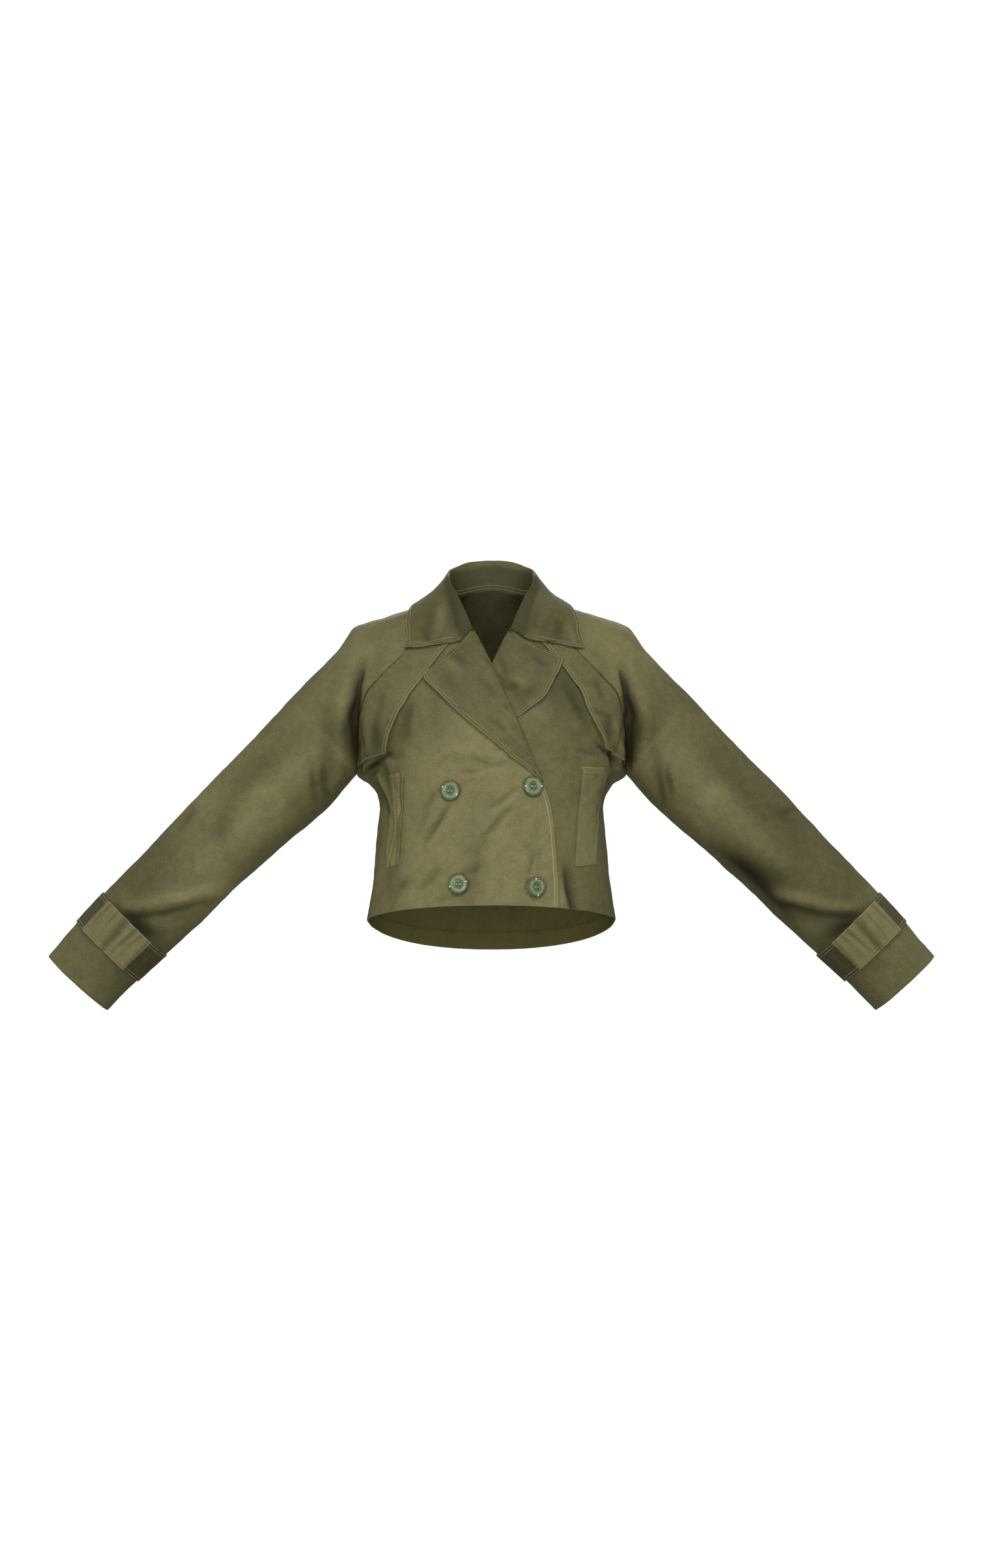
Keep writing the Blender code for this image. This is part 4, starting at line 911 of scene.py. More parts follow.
def turned_edge(d, along, rows=(EDGE_ROW, SECOND_ROW), puff=0.45, dip=1.0):
    """Section of a turned, topstitched edge: a puffed band, and a dip under each row."""
    pucker = 1 + 0.40 * np.sin(along / 2.1 + 1.7 * np.sin(along / 9.0))
    off = puff * (1 - step(d, rows[-1] - 0.6, rows[-1] + 1.2)) - 0.40 * dip * hump(d, 0, 0.7)
    if len(rows) > 1:
        off += 0.30 * dip * hump(d, (rows[0] + rows[1]) / 2, 1.3)
    for r in rows:
        off -= (0.55 if r > 3 else 0.22) * dip * hump(d, r, 0.8) * pucker
    return off


def ease(p, keep, rounds):
    """Evens a grid out along its rows' run, except where keep is 1."""
    w = (1 - keep)[1:-1, :, None]
    for _ in range(rounds):
        a = np.linalg.norm(p[1:-1] - p[:-2], axis=-1, keepdims=True)
        b = np.linalg.norm(p[2:] - p[1:-1], axis=-1, keepdims=True)
        mid = (p[:-2] * b + p[2:] * a) / (a + b)
        p[1:-1] += 0.5 * w * (mid - p[1:-1])
    return p


def make_panel(name, surface, start, end, t, count, seams, low=None, closing=False,
               hem_from=1.912, painted_shading=None, within=None, rounds=0):
    """One cut panel. seams = {"start": (points, facings), "end": ...}; low = how far it is
    pushed in; closing = its end is the coat's front edge; tone and within = painted shade
    and light outside and inside; rounds = how often its columns are evened out."""
    near_end = NEAR_EDGE if closing else NEAR_SEAM
    s = even_columns(lambda a, b: surface(a, b)[0], start, end, t, count, NEAR_SEAM, near_end)
    COLUMNS[name] = s
    tt = t[:, None] + 0 * s
    p, n = surface(s, tt)
    run = run_length(p, 1)
    d = {"start": run, "end": run[:, -1:] - run}
    if rounds:
        near = 1 - step(d["start"], 8, 60)
        if "end" in seams:
            near = np.maximum(near, 1 - step(d["end"], 8, 60))
        p = ease(p, near, rounds)
        n = outwards(p, n)
    along = run_length(p, 0)
    for where, (sp, sn) in seams.items():
        w = np.exp(-(d[where] / SHARED)**2)[..., None]
        n = unit(n * (1 - w) + sn[:, None] * w)
        col = 0 if where == "start" else -1
        p[:, col], n[:, col] = sp, sn
    fold, shade = folded(p, n)
    off = fold + rumple(p)
    if low is not None:
        off = off + low(p)
    # paler turned and hem edges, for wear and as a painted highlight
    edge_wear_and_highlight, seam_shade_band = np.zeros_like(run), np.zeros_like(run)
    for where, (sp, sn) in seams.items():
        line = run_length(sp[:, None], 0)
        off = off + sewn(d[where], line)
        # painted shade along the seam, for the shade in its groove
        seam_shade_band = np.maximum(seam_shade_band, hump(d[where], 0, 1.0))
    if closing:
        off = off + turned_edge(d["end"], along[:, -1:], (SECOND_ROW,))
        edge_wear_and_highlight = np.maximum(edge_wear_and_highlight, hump(d["end"], 0, 1.1))
    hem = along[-1:] - along
    off = off + 0.25 * step(tt, hem_from, hem_from + 0.008) - 0.30 * hump(hem, 0, 0.9)
    edge_wear_and_highlight = np.maximum(edge_wear_and_highlight, 0.8 * hump(hem, 0, 1.0))
    g = p + n * off[..., None]
    g[1:-1, 1:-1] = (g[1:-1, 1:-1] * 4 + g[:-2, 1:-1] + g[2:, 1:-1]
                     + g[1:-1, :-2] + g[1:-1, 2:]) / 8
    m = outwards(g, n)
    # each sewn edge draws back by half of what is left open between the panels
    for where, (sp, sn) in seams.items():
        col, nxt = (0, 1) if where == "start" else (-1, -2)
        m[:, col] = sn
        line = unit(np.gradient(g[:, col], axis=0))
        across = unit(np.cross(line, sn))
        sign = np.sign(np.sum(across * (g[:, nxt] - g[:, col]), -1, keepdims=True))
        g[:, col] += across * sign * SEAM_ROOM / 2
    allowance = 0.75 * step(tt, hem_from - 0.006, hem_from + 0.002)
    rim = (0, 0.55, 0, 0.55 if closing else 0)
    # the folds' painted shade and light, with the panel's own painted shading, go into its colour
    cloth_piece(name, g, m, CLOTH, rim=rim, edge=edge_wear_and_highlight, behind=allowance, seam=seam_shade_band,
                painted_shading=shade + (painted_shading(p) if painted_shading else 0),
                within=within(p, tt) if within else 0.0)


def front_ends():
    """Where each ring meets the front edge; above the break it stays inside the roll."""
    lo, hi = -np.ones(len(T_TORSO)), np.ones(len(T_TORSO))
    for _ in range(36):
        mid = (lo + hi) / 2
        p = torso(FRONT, mid, T_TORSO)
        short = p[:, 0] < edge_x(p[:, 2]) - ROLL_INSET * step(p[:, 2], *BREAK)
        lo, hi = np.where(short, mid, lo), np.where(short, hi, mid)
    return (lo + hi) / 2


def make_panels():
    """The seven panels, each sewn to the next along the same points."""
    ends = front_ends()
    one, two = np.ones(len(T_TORSO)), np.ones(len(T_SLEEVE))
    sets = {side: seam_sets(side) for side in (-1, 1)}
    # a raglan seam runs on below the underarm: down the body's side, or under the arm
    long_seam, arm_seam = [
        {(side, key): tuple(np.concatenate([sets[side][key][k], sets[side][low][k]])
                            for k in (0, 1))
         for side in (-1, 1) for key in ("f", "b")}
        for low in ("side", "arm")]
    for side, word in ((-1, "right"), (1, "left")):
        make_panel("front_" + word, front_n, one * side, ends * -side, T_TORSO, 112,
                   {"start": long_seam[side, "f"]}, under if side > 0 else None,
                   closing=True, painted_shading=front_painted_shading, rounds=70)
        for part, a, key in (("sleeve_front_", 0.0, "f"), ("sleeve_back_", 1.0, "b")):
            make_panel(part + word, lambda q, t, side=side: sleeve_n(q, t, side),
                       two * a, two * 0.5, T_SLEEVE, 66,
                       {"start": arm_seam[side, key], "end": sets[side]["top"]},
                       hem_from=1.95, painted_shading=sleeve_painted_shading)
    make_panel("back", back_n, -one, one, T_TORSO, 168,
               {"start": long_seam[-1, "b"], "end": long_seam[1, "b"]}, within=neck_shade,
               rounds=70)


def front_painted_shading(p):
    """Painted shade on the fronts: darker towards the right front's side seam, in the storm
    flaps' shadow between the lapels and flaps, and round each button.
    """
    x, z = p[..., 0], p[..., 2]
    flank = -0.22 * (1 - step(x, -136, -108))
    right = (1 - step(x, -80, -30)) * step(z, -240, -160)
    left = step(x, 60, 90) * step(z, -205, -130)
    tab = table(BUTTONS)
    # a painted shadow ring just outside each button's rim
    button_ring_shade = sum(hump(np.hypot(x - bx, z - bz), BUTTON_R + 0.4, 1.7)
               for bx, bz in zip(tab["x"], tab["z"]))
    return flank - 0.55 * right - 0.55 * left - 0.9 * button_ring_shade


def sleeve_painted_shading(p):
    """Painted light and shade on the sleeves: painted light over the shoulders (and mid-arm on
    the wearer's right), painted shade along the lower arm.
    """
    x, z = p[..., 0], p[..., 2]
    far = np.abs(x)
    shoulder = hump(far, 200, 60) * step(z, -120, -60)
    right = 0.3 * shoulder + 0.2 * hump(far, 396, 50) - 0.32 * hump(far, 500, 50)
    left = 0.55 * shoulder - 0.32 * hump(far, 404, 75) - 0.2 * hump(far, 506, 45)
    return np.where(x < 0, right, left)


def neck_shade(p, t):
    """Inside the back: painted shade under the collar, painted light towards the hem, and a
    darker line at the hem allowance's edge with the allowance paler below it.
    """
    shade = -0.9 * step(p[..., 2], -150, 0) + 0.7 * (1 - step(p[..., 2], -420, -330))
    return shade + 0.35 * step(t, 1.912, 1.920) - 0.7 * hump(t, 1.910, 0.006)


def laid(c, t, lift, side):
    """A point on a made front, moved out by lift along that front's own facing."""
    name = "front_" + ("right" if side < 0 else "left")
    (g, m), cs = OUTER[name], COLUMNS[name]
    c, t, lift = np.broadcast_arrays(np.asarray(c, float), t, lift)
    shape = c.shape
    c, t = c.ravel(), t.ravel()
    p, n = np.zeros((len(c), 3)), np.zeros((len(c), 3))
    i = np.clip(np.searchsorted(T_TORSO, t, side="right") - 1, 0, len(T_TORSO) - 2)
    u = (t - T_TORSO[i]) / (T_TORSO[i + 1] - T_TORSO[i])
    for row in np.unique(i):
        k = i == row
        for r, w in ((row, 1 - u[k]), (row + 1, u[k])):
            way = np.sign(cs[r, -1] - cs[r, 0])
            for d in range(3):
                p[k, d] += w * np.interp(c[k] * way, cs[r] * way, g[r, :, d])
                n[k, d] += w * np.interp(c[k] * way, cs[r] * way, m[r, :, d])
    n = unit(n).reshape(shape + (3,))
    return p.reshape(shape + (3,)) + n * lift[..., None], n


def below(*keys):
    """The outer faces of made pieces, for what lies over them."""
    verts, faces = [], []
    for k in keys:
        g, m = OUTER[k]
        g, m = g[::2, ::2], m[::2, ::2]
        r, c = g.shape[:2]
        o = len(verts)
        idx = np.arange(r * c).reshape(r, c) + o
        q = np.stack([idx[:-1, :-1], idx[:-1, 1:], idx[1:, 1:], idx[1:, :-1]], -1)
        n = np.cross(g[1:, 1:] - g[:-1, :-1], g[1:, :-1] - g[:-1, 1:])
        ok = np.sum(n * m[:-1, :-1], -1) > 0
        q = np.where(ok[..., None], q, q[..., ::-1])
        verts += g.reshape(-1, 3).tolist()
        faces += q.reshape(-1, 4).tolist()
    return BVHTree.FromPolygons(verts, faces)


def settle(g, n, wall, lower, room, passes=8, fixed=0):
    """Lift a grid until its inner face stands room clear of the cloth under it."""
    g = g.copy()
    for _ in range(passes):
        m = outwards(g, n)
        q = g - m * wall
        need = np.zeros(g.shape[:2])
        for i, j in np.ndindex(need.shape):
            if j < fixed:
                continue
            hit, nor, _, dist = lower.find_nearest(q[i, j].tolist())
            if hit is None or dist > 12:
                continue
            need[i, j] = max(0.0, room - float((Vector(q[i, j]) - hit).dot(nor)))
        if need.max() < 0.04:
            break
        g += m * soften(need, 3)[..., None]
    return g


def soften(need, k):
    """An even swell that is nowhere less than what is needed."""
    r, c = need.shape
    for pick in (np.max, np.mean, np.mean):
        pad = np.pad(need, k, mode="edge")
        need = pick([pad[a:a + r, b:b + c] for a in range(2 * k + 1)
                     for b in range(2 * k + 1)], axis=0)
    return need


def line_of(tab, names, count):
    """The named columns read at even steps from the first row to the last."""
    k = len(tab[names[0]])
    q = np.linspace(0, k - 1, count)
    return [smooth(np.arange(k, dtype=float), tab[n], q) for n in names]


def shares(width, count, near_end, near_start=(0.0,)):
    """Per row, shares of its width with closer lines beside the far edge."""
    out = np.empty((len(width), count))
    inner = count - len(near_end) - len(near_start)
    for i, w in enumerate(width):
        s = min(1.0, w / (near_end[-1] + near_start[-1] + 4.0))
        a, b = np.array(near_start) * s, w - np.array(near_end)[::-1] * s
        mid = np.linspace(a[-1], b[0], inner + 2)[1:-1]
        out[i] = np.concatenate([a, mid, b]) / w
    return out


ROLL_LINES = 8           # grid lines round a lapel's roll
LAID_SHADE = 0.3         # how much a laid piece's creases lighten or deepen it


def make_lapel(side, word):
    """The turned-back top of a front, from its roll line out to its point."""
    tab = table(LAPEL_RIGHT_ROWS if side < 0 else LAPEL_LEFT_ROWS)
    rx, rz, ox, oz, lf = line_of(tab, ("rx", "rz", "ox", "oz", "lift"), 96)
    wide = np.hypot(ox - rx, oz - rz)
    f = shares(wide, 40, NEAR_EDGE)
    x, z = rx[:, None] * (1 - f) + ox[:, None] * f, rz[:, None] * (1 - f) + oz[:, None] * f
    c, t = find_on_front(x, z)
    away = wide[:, None] * f
    lift = LAPEL_CLOTH + 0.5 + (lf[:, None] - 0.6) * (1 - np.exp(-away / 4.0)) * (1 - 0.25 * f)
    if side > 0:
        p = torso(FRONT, c, t)
        u = step(p[..., 0] - edge_x(p[..., 2]), 9, 25)
        lift = (LAPEL_CLOTH + 0.35) * (1 - u) + lift * u
    g, n = laid(c, t, lift, side)
    g = settle(g, n, LAPEL_CLOTH, below("storm_flap_" + word), 0.35)
    # the roll: the cloth turns round the front's edge and runs on behind it
    first = laid(c[:, :1], t[:, :1], 0.0, side)[0]
    out = unit(g[:, :1] - g[:, 2:3])
    height = np.sum((g[:, :1] - first) * n[:, :1], -1, keepdims=True)
    rad = height * 0.62
    mid = g[:, :1] - n[:, :1] * rad
    turn = np.radians(np.linspace(-62, 78, ROLL_LINES))[None, :, None]
    roll = mid + n[:, :1] * rad * np.sin(turn) + out * (rad * 0.9 + 0.6) * np.cos(turn)
    d = run_length(g, 1)
    d = d[:, -1:] - d
    along = run_length(g, 0)[:, -1:]
    m = outwards(g, n)
    off = turned_edge(d, along) + 0.35 * wander(g, 17, 5.2) * step(d, 6, 14)
    off -= 0.5 * hump(d, 9.5, 3.0) * (0.6 + 0.4 * np.sin(along / 13.0))
    off += 0.6 * drag(g) * step(d, 6, 16)
    worked = laid_creases("lapel_" + word, g) * step(d, 3, 9)
    g = g + m * (off + worked)[..., None]
    # its turned edge painted paler, for wear and as a painted highlight
    edge_wear_and_highlight = hump(d, 0, 1.2)
    g = np.concatenate([roll, g], 1)
    n = np.concatenate([np.repeat(n[:, :1], ROLL_LINES, 1), n], 1)
    plain = np.zeros((len(g), ROLL_LINES))
    edge_wear_and_highlight = np.concatenate([plain, edge_wear_and_highlight], 1)
    shade = np.concatenate([plain, LAID_SHADE * worked], 1)
    m = normals(g)
    m = m if np.sum(m[:, 20:] * n[:, 20:]) > 0 else -m
    cloth_piece("lapel_" + word, g, m, LAPEL_CLOTH, rim=(0.4, 0.4, 0, 0.7), edge=edge_wear_and_highlight,
                held="folded", painted_shading=shade, rests=("front_" + word,))


def make_flap(side, word):
    """The storm flap: caught in the raglan seam, its inner and lower edges free."""
    tab = table(FLAP_RIGHT_ROWS if side < 0 else FLAP_LEFT_ROWS)
    x, z = line_of(tab, ("x", "z"), 84)
    ci, ti = find_on_front(x, z)
    k = np.linspace(0, 1, len(x))
    to = FLAP_HEAD + (FLAP_FOOT - FLAP_HEAD) * k
    co = side * (0.986 - 0.02 * k**4)
    wide = np.linalg.norm(torso(FRONT, ci, ti) - torso(FRONT, co, to), axis=-1)
    f = shares(wide, 40, NEAR_EDGE)
    c = co[:, None] * (1 - f) + ci[:, None] * f
    t = to[:, None] * (1 - f) + ti[:, None] * f
    hang = k[:, None]
    lift = FLAP_CLOTH + 0.6 + 0.5 * f + 3.2 * f * hang**1.5
    lift += 2.0 * hump(hang, 0.62, 0.16) * f**2
    lift += 0.9 * np.sin(hang * 15 + 0.6) * f**2 * step(hang, 0.25, 0.5)
    g, n = laid(c, t, lift, side)
    g = settle(g, n, FLAP_CLOTH, below("sleeve_front_" + word), 0.5)
    d = run_length(g, 1)
    d = d[:, -1:] - d
    along = run_length(g, 0)
    m = outwards(g, n)
    foot = along[-1:] - along
    off = turned_edge(d, along[:, -1:]) + turned_edge(foot, d, (EDGE_ROW,)) * step(f, 0.1, 0.4)
    off += (0.35 * wander(g, 15, 2.4) + 0.5 * drag(g)) * step(d, 6, 14)
    # a short slanting dent where the flap is drawn in
    pull, slant = np.array([-141, -163] if side < 0 else [145, -165]), [[0.83, 0.56], [-0.56, 0.83]]
    spot = np.linalg.norm((g[..., [0, 2]] - pull) @ slant / [7, 1.8], axis=-1)
    off -= 0.9 * np.exp(-spot**2)
    worked = laid_creases("storm_flap_" + word, g) * step(d, 3, 9)
    g = g + m * (off + worked)[..., None]
    m = outwards(g, n)
    # its free edges painted paler, for wear and as a painted highlight
    edge_wear_and_highlight = np.maximum(hump(d, 0, 1.2), hump(foot, 0, 1.2))
    cloth_piece("storm_flap_" + word, g, m, FLAP_CLOTH, rim=(0, 0.6, 0, 0.7), edge=edge_wear_and_highlight,
                painted_shading=LAID_SHADE * worked, rests=("front_" + word,))


def pocket_row_x(z):
    """Where the row inside the right welt runs at height z."""
    row = table(POCKET_ROW)
    return smooth(row["z"][::-1], row["x"][::-1], z)


def make_welt(side, word):
    """The pocket's welt: open along its inner edge, sewn down flat on the others."""
    tab = table(POCKET_RIGHT_ROWS if side < 0 else POCKET_LEFT_ROWS)
    zz = np.linspace(tab["z"][0], tab["z"][-1], 96)
    xi, xo = [smooth(tab["z"][::-1], tab[k][::-1], zz) for k in ("xi", "xo")]
    f = shares(np.abs(xo - xi), 34, WELT_NEAR_OPENING, WELT_NEAR_SEWN)
    x = xi[:, None] * (1 - f) + xo[:, None] * f
    slope = 0.16 * (x - xi[:, None]) * (-side) * step(zz[0] - zz, 60, 130)[:, None]
    c, t = find_on_front(x, zz[:, None] + (slope if side < 0 else -slope))
    d0, d1 = np.abs(x - xi[:, None]), np.abs(x - xo[:, None])
    top, foot = (zz[0] - zz)[:, None] + 0 * x, (zz - zz[-1])[:, None] + 0 * x
    lift = WELT_CLOTH + 0.25 + 0.9 * np.exp(-d0 / 5) * step(top, 0, 12) * step(foot, 0, 12)
    lift -= 1.3 * (1 - step(d1, 0, 3.2)) + 0.9 * (1 - step(foot, 0, 3.0))
    if side < 0:
        lift -= 1.3 * (1 - step(top, 0, 5)) * (1 - 0.9 * hump(d0, 0, 4))
    g, n = laid(c, t, lift, side)
    row = np.abs(x - pocket_row_x(zz)[:, None]) if side < 0 else d1 - WELT_ROW
    off = -0.45 * hump(row, 0, 1.0) - 0.25 * hump(d0, 0, 0.8) + 0.2 * hump(d0, 3.5, 1.6)
    upper, lower = WELT_TOP_ROWS
    off -= 0.28 * (hump(top, upper, 0.7) + hump(top, lower, 0.8)) - 0.2 * hump(top, 5, 2)
    off += 0.25 * wander(g, 12, 8.8) + 0.3 * drag(g)
    if side < 0:
        # drawn into long creases below the armhole
        off += 0.8 * hump(d0, 9, 2.2) * (1 - step(top, 60, 120))
        off -= 0.9 * hump(d0, 5, 1.6) * (1 - step(top, 40, 80))
    g = g + n * off[..., None]
    # painted shadow along the pocket's open edge, on the right welt also beside its sewn row
    opening_shadow = -0.35 * hump(d0, 0, 1.4)
    if side < 0:
        opening_shadow = -0.55 * hump(d0, 2.5, 2.2) - 0.4 * hump(row, 2.5, 1.6)
    # painted shade along the welt's sewn-down outer side and foot
    sewn_edge_shade = np.maximum(0.5 * hump(d1, 0, 1.0), 0.5 * hump(foot, 0, 1.0))
    cloth_piece("pocket_welt_" + word, g, outwards(g, n), WELT_CLOTH,
                rim=(0.2, 0.2, 0.3, 0.2), seam=sewn_edge_shade, painted_shading=opening_shadow,
                rests=("front_" + word,))


# The strap's rows from its upper edge to its lower one, closer beside both.
STRAP_LINES = np.array([0, .012, .028, .05, .08, .11, .15, .2, .26, .32, .38, .44, .5, .56,
                        .62, .68, .74, .8, .85, .89, .92, .95, .972, .988, 1.0])


def make_strap(side, word):
    """The strap lies flat over the sleeve's front and bends sharply at its two sides."""
    t = STRAP_FROM + (STRAP_TO - STRAP_FROM) * STRAP_LINES
    k = STRAP_LINES[:, None]
    s = np.linspace(0, 1, 261)[:-1]
    ss, tt = np.meshgrid(s, t, indexing="xy")
    p, n = sleeve_n(ss, tt, side)
    p = p + n * (crease(p, n, MAIN_FOLDS))[..., None]
    top, foot = sleeve(0.5, t, side), sleeve(0.0, t, side)
    mid = ((top + foot) / 2)[:, None]
    half = np.linalg.norm(top - foot, axis=-1)[:, None] / 2
    way = unit(top - foot)[:, None]
    a = np.sum((p - mid) * way, -1)
    v = (p - mid) - a[..., None] * way
    b = np.linalg.norm(v, axis=-1)
    r = np.hypot(a, b)
    co, si = np.abs(a) / r, b / r
    deep = at(SLEEVE, t, "df", "db")
    deep = np.where(ss <= 0.5, deep[:, :1], deep[:, 1:])
    corner_a, corner_b, out = STRAP_FACE * half, deep - STRAP_SINK, half + STRAP_OUT
    bow = STRAP_SWELL / corner_a**2
    face = corner_b + STRAP_SWELL
    r_face = 2 * face / (si + np.sqrt(si**2 + 4 * bow * face * co**2))
    r_side = out / (co + (out - corner_a) / corner_b * si)
    flat = -np.log(np.exp(-r_face / 0.8) + np.exp(-r_side / 0.8)) * 0.8
    r_new = np.log(np.exp(flat - 40) + np.exp(r + STRAP_CLOTH + 0.35 - 40)) + 40
    g = mid + (p - mid) * (r_new / r)[..., None]
    m = outwards(g, p - mid, True)
    along, across = run_length(g, 1), run_length(g, 0)
    wide = across[-1:] - across
    off = 0 * along
    # the tucks are deepest at the upper edge; one fold runs across between them
    for at_s, depth, half_w in zip(*table(STRAP_TUCKS).values()):
        lean = at_s + 0.010 * (k - 0.5) * np.sin(at_s * 37)
        off = off + depth * hump(ss, lean, half_w) * (1.05 - 0.8 * k)
        off = off - 0.4 * depth * hump(ss, lean + 1.9 * half_w, half_w) * (1.05 - 0.8 * k)
    # painted shade in the tucks and in the fold across the strap
    tuck_shade = np.clip(0.35 * off, -0.7, 0.2)
    lean = STRAP_FOLD - 0.010 * k
    tuck_shade = tuck_shade - 0.8 * hump(ss, lean, .016)
    off += -2.4 * hump(ss, lean, .014) + 1.0 * hump(ss, lean + .030, .012)
    off += 0.8 * hump(ss, lean - .028, .012)
    off += turned_edge(across, along, puff=0, dip=0.4) + turned_edge(wide, along, puff=0, dip=0.4)
    off += 0.30 * wander(p, 14, 6.1) + 0.12 * wander(p, 6, 1.6)
    g = g + m * off[..., None]
    # its edges painted paler, for wear and as a painted highlight
    edge_wear_and_highlight = np.maximum(hump(across, 0, 1.2), hump(wide, 0, 1.2))
    # where the strap bends round the sleeve's sides it is painted dark, as painted shade, with no
    # paler edge
    turn = step(-flat + r_face, 0.6, 2.0)
    cloth_piece("sleeve_strap_" + word, g, outwards(g, m, True), STRAP_CLOTH, closed=True,
                rim=(0.3, 0.3, 0, 0), edge=edge_wear_and_highlight * (1 - turn),
                painted_shading=-1.25 * turn + tuck_shade * (1 - turn),
                rests=("sleeve_front_" + word, "sleeve_back_" + word))


def neck(a):
    """The neck seam from the centre back (0) round the +X side to the notch (8)."""
    if a <= 2:
        return torso(BACK, a / 2, 0.0)
    if a <= 6:
        return sleeve(1 - (a - 2) / 4, 0.0, 1)
    return torso(FRONT, 1 - (a - 6) / 2 * (1 - NOTCH_C), 0.0)


COLLAR_FIXED = 18        # lines of stand and turn that keep their place when the leaf settles
COLLAR_LEAF = 16         # the line from which the leaf is evened out again
# The stand's lines, from the neck seam up over its two stitched rows.
STAND_LINES = [0, 0.8, 1.8, 2.6, 3.2, 3.8, 4.8, 5.7, 6.6, 7.6, 8.2, 8.8, 9.8]


def evened(g, rounds, columns):
    """A grid evened out from row to row over some of its columns."""
    for _ in range(rounds):
        g[1:-1, columns] = (g[1:-1, columns] * 2 + g[:-2, columns] + g[2:, columns]) / 4
    return g


def make_collar():
    """The collar in one: stand up from the neck seam, turn at the top, leaf down outside."""
    tab = table(COLLAR_ROWS)
    half = np.concatenate([np.linspace(0, 5.5, 52), np.linspace(5.6, 7.0, 20),
                           np.linspace(7.05, 7.86, 16)])
    a = np.concatenate([-half[:0:-1], half])
    ctrl = []
    for v in a:
        sgn = -1 if v < 0 else 1
        q = at(tab, np.array(abs(v)), "rx", "ry", "rz", "ex", "ey", "ez", "bow")
        q[3:6] = at(tab, np.array(max(abs(v), 7.5 + (abs(v) - 7.5) / 0.72)), "ex", "ey", "ez")
        nk, rl, ed, bow = neck(abs(v)), q[0:3].copy(), q[3:6].copy(), q[6]
        if sgn > 0:
            ed += np.array([13.0, 0.0, 4.0]) * np.exp(-((abs(v) - 7.0) / 1.1)**2)
        out = unit(np.array([rl[0], rl[1] * 0.9, 12.0]))
        rise = rl - nk
        row = [nk - unit(rise + 1e-6) * NECK_LAP] + [nk + rise * f for f in (0.33, 0.62, 0.86)]
        h = min(1.0, np.linalg.norm(rise) / 20)
        row.append(rl + out * 0.2)
        row.append(rl + out * 3.2 * h + unit(rise + 1e-6) * 1.0 * h)
        row.append(rl + out * 6.2 * h - np.array([0, 0, 2.5 * h]))
        start = row[-1]
        nrm = unit(np.cross(np.cross(ed - start, out), ed - start))
        nrm = nrm if nrm[2] > 0 else -nrm
        for f in (0.2, 0.4, 0.6, 0.8, 1.0):
            row.append(start + (ed - start) * f + nrm * bow * np.sin(np.pi * f)**0.8)
        row = np.array(row)
        row[:, 0] *= sgn
        ctrl.append(row)
    ctrl = np.array(ctrl)
    run = run_length(ctrl, 1)
    g = np.array([[smooth(run[i], ctrl[i, :, d], np.linspace(0, run[i, -1], 34))
                   for d in range(3)] for i in range(len(a))]).transpose(0, 2, 1)
    g = evened(g, 8, slice(1, -1))
    over = [key for key in OUTER if not key.startswith("lapel") and "strap" not in key]
    g = settle(g, face_out(g), COLLAR_CLOTH, below(*over), 0.8, passes=4, fixed=COLLAR_FIXED)
    g = evened(g, 3, slice(COLLAR_LEAF, None))
    run = run_length(g, 1)
    fine = []
    for i in range(len(a)):
        total = run[i, -1]
        room = min(1.0, total / 40)
        pos = np.concatenate([STAND_LINES, np.linspace(11.5, total / room - 9.5, 38),
                              total / room - np.array(NEAR_EDGE)[::-1]]) * room
        fine.append(np.stack([smooth(run[i], g[i, :, d], pos) for d in range(3)], -1))
    g = np.array(fine)
    n = face_out(g)
    run = run_length(g, 1)
    d = run[:, -1:] - run
    along = run_length(g, 0)[:, -1:]
    wide = step(d * 0 + run[:, -1:], 20, 35)
    off = turned_edge(d, along) * wide
    leaf = step(d, 6, 16) * step(run, 10, 24)
    off += (0.7 * wander(g, 26, 1.1) + 0.25 * wander(g, 11, 6.6)) * leaf
    stand = 1 - step(run, 11, 15)
    first, second = NECK_STITCHES
    off += (-0.45 * hump(run, first, 0.8) - 0.45 * hump(run, second, 0.8)
            + 0.35 * hump(run, (first + second) / 2, 1.8)) * stand
    worked = laid_creases("collar", g) * leaf * (g[..., 1] < 20)
    g = g + n * (off + worked)[..., None]
    # painted shade on the collar's inside, over the stand and the turn, and along the neck seam;
    # the leaf's edge is painted paler, for wear and as a painted highlight
    inner = 1 - step(run, 34, 42)
    cloth_piece("collar", g, face_out(g), COLLAR_CLOTH, rim=(0.6, 0.6, 0, 0.8),
                edge=hump(d, 0, 1.2), held="folded", seam=0.8 * hump(run, 0.4, 0.9),
                painted_shading=LAID_SHADE * worked - 0.6 * inner,
                rests=("back", "front_right", "front_left"))


def face_out(g):
    """The collar's facings, turned so that its leaf faces away from the neck."""
    n = normals(g)
    return n if n[len(g) // 2, -4, 1] > 0 else -n


# ------------------------------------------------------------------ looks
class Wire:
    """A shader value that Python's operators turn into Math nodes."""

    def __init__(self, look, socket):
        self.look, self.socket = look, socket

    def _do(self, op, a, b):
        n = self.look.node("ShaderNodeMath", {"operation": op}, {0: a, 1: b})
        return Wire(self.look, n.outputs[0])

    def __add__(self, o):
        return self._do("ADD", self, o)

    def __radd__(self, o):
        return self._do("ADD", o, self)

    def __sub__(self, o):
        return self._do("SUBTRACT", self, o)

    def __rsub__(self, o):
        return self._do("SUBTRACT", o, self)

    def __mul__(self, o):
        return self._do("MULTIPLY", self, o)

    def __rmul__(self, o):
        return self._do("MULTIPLY", o, self)


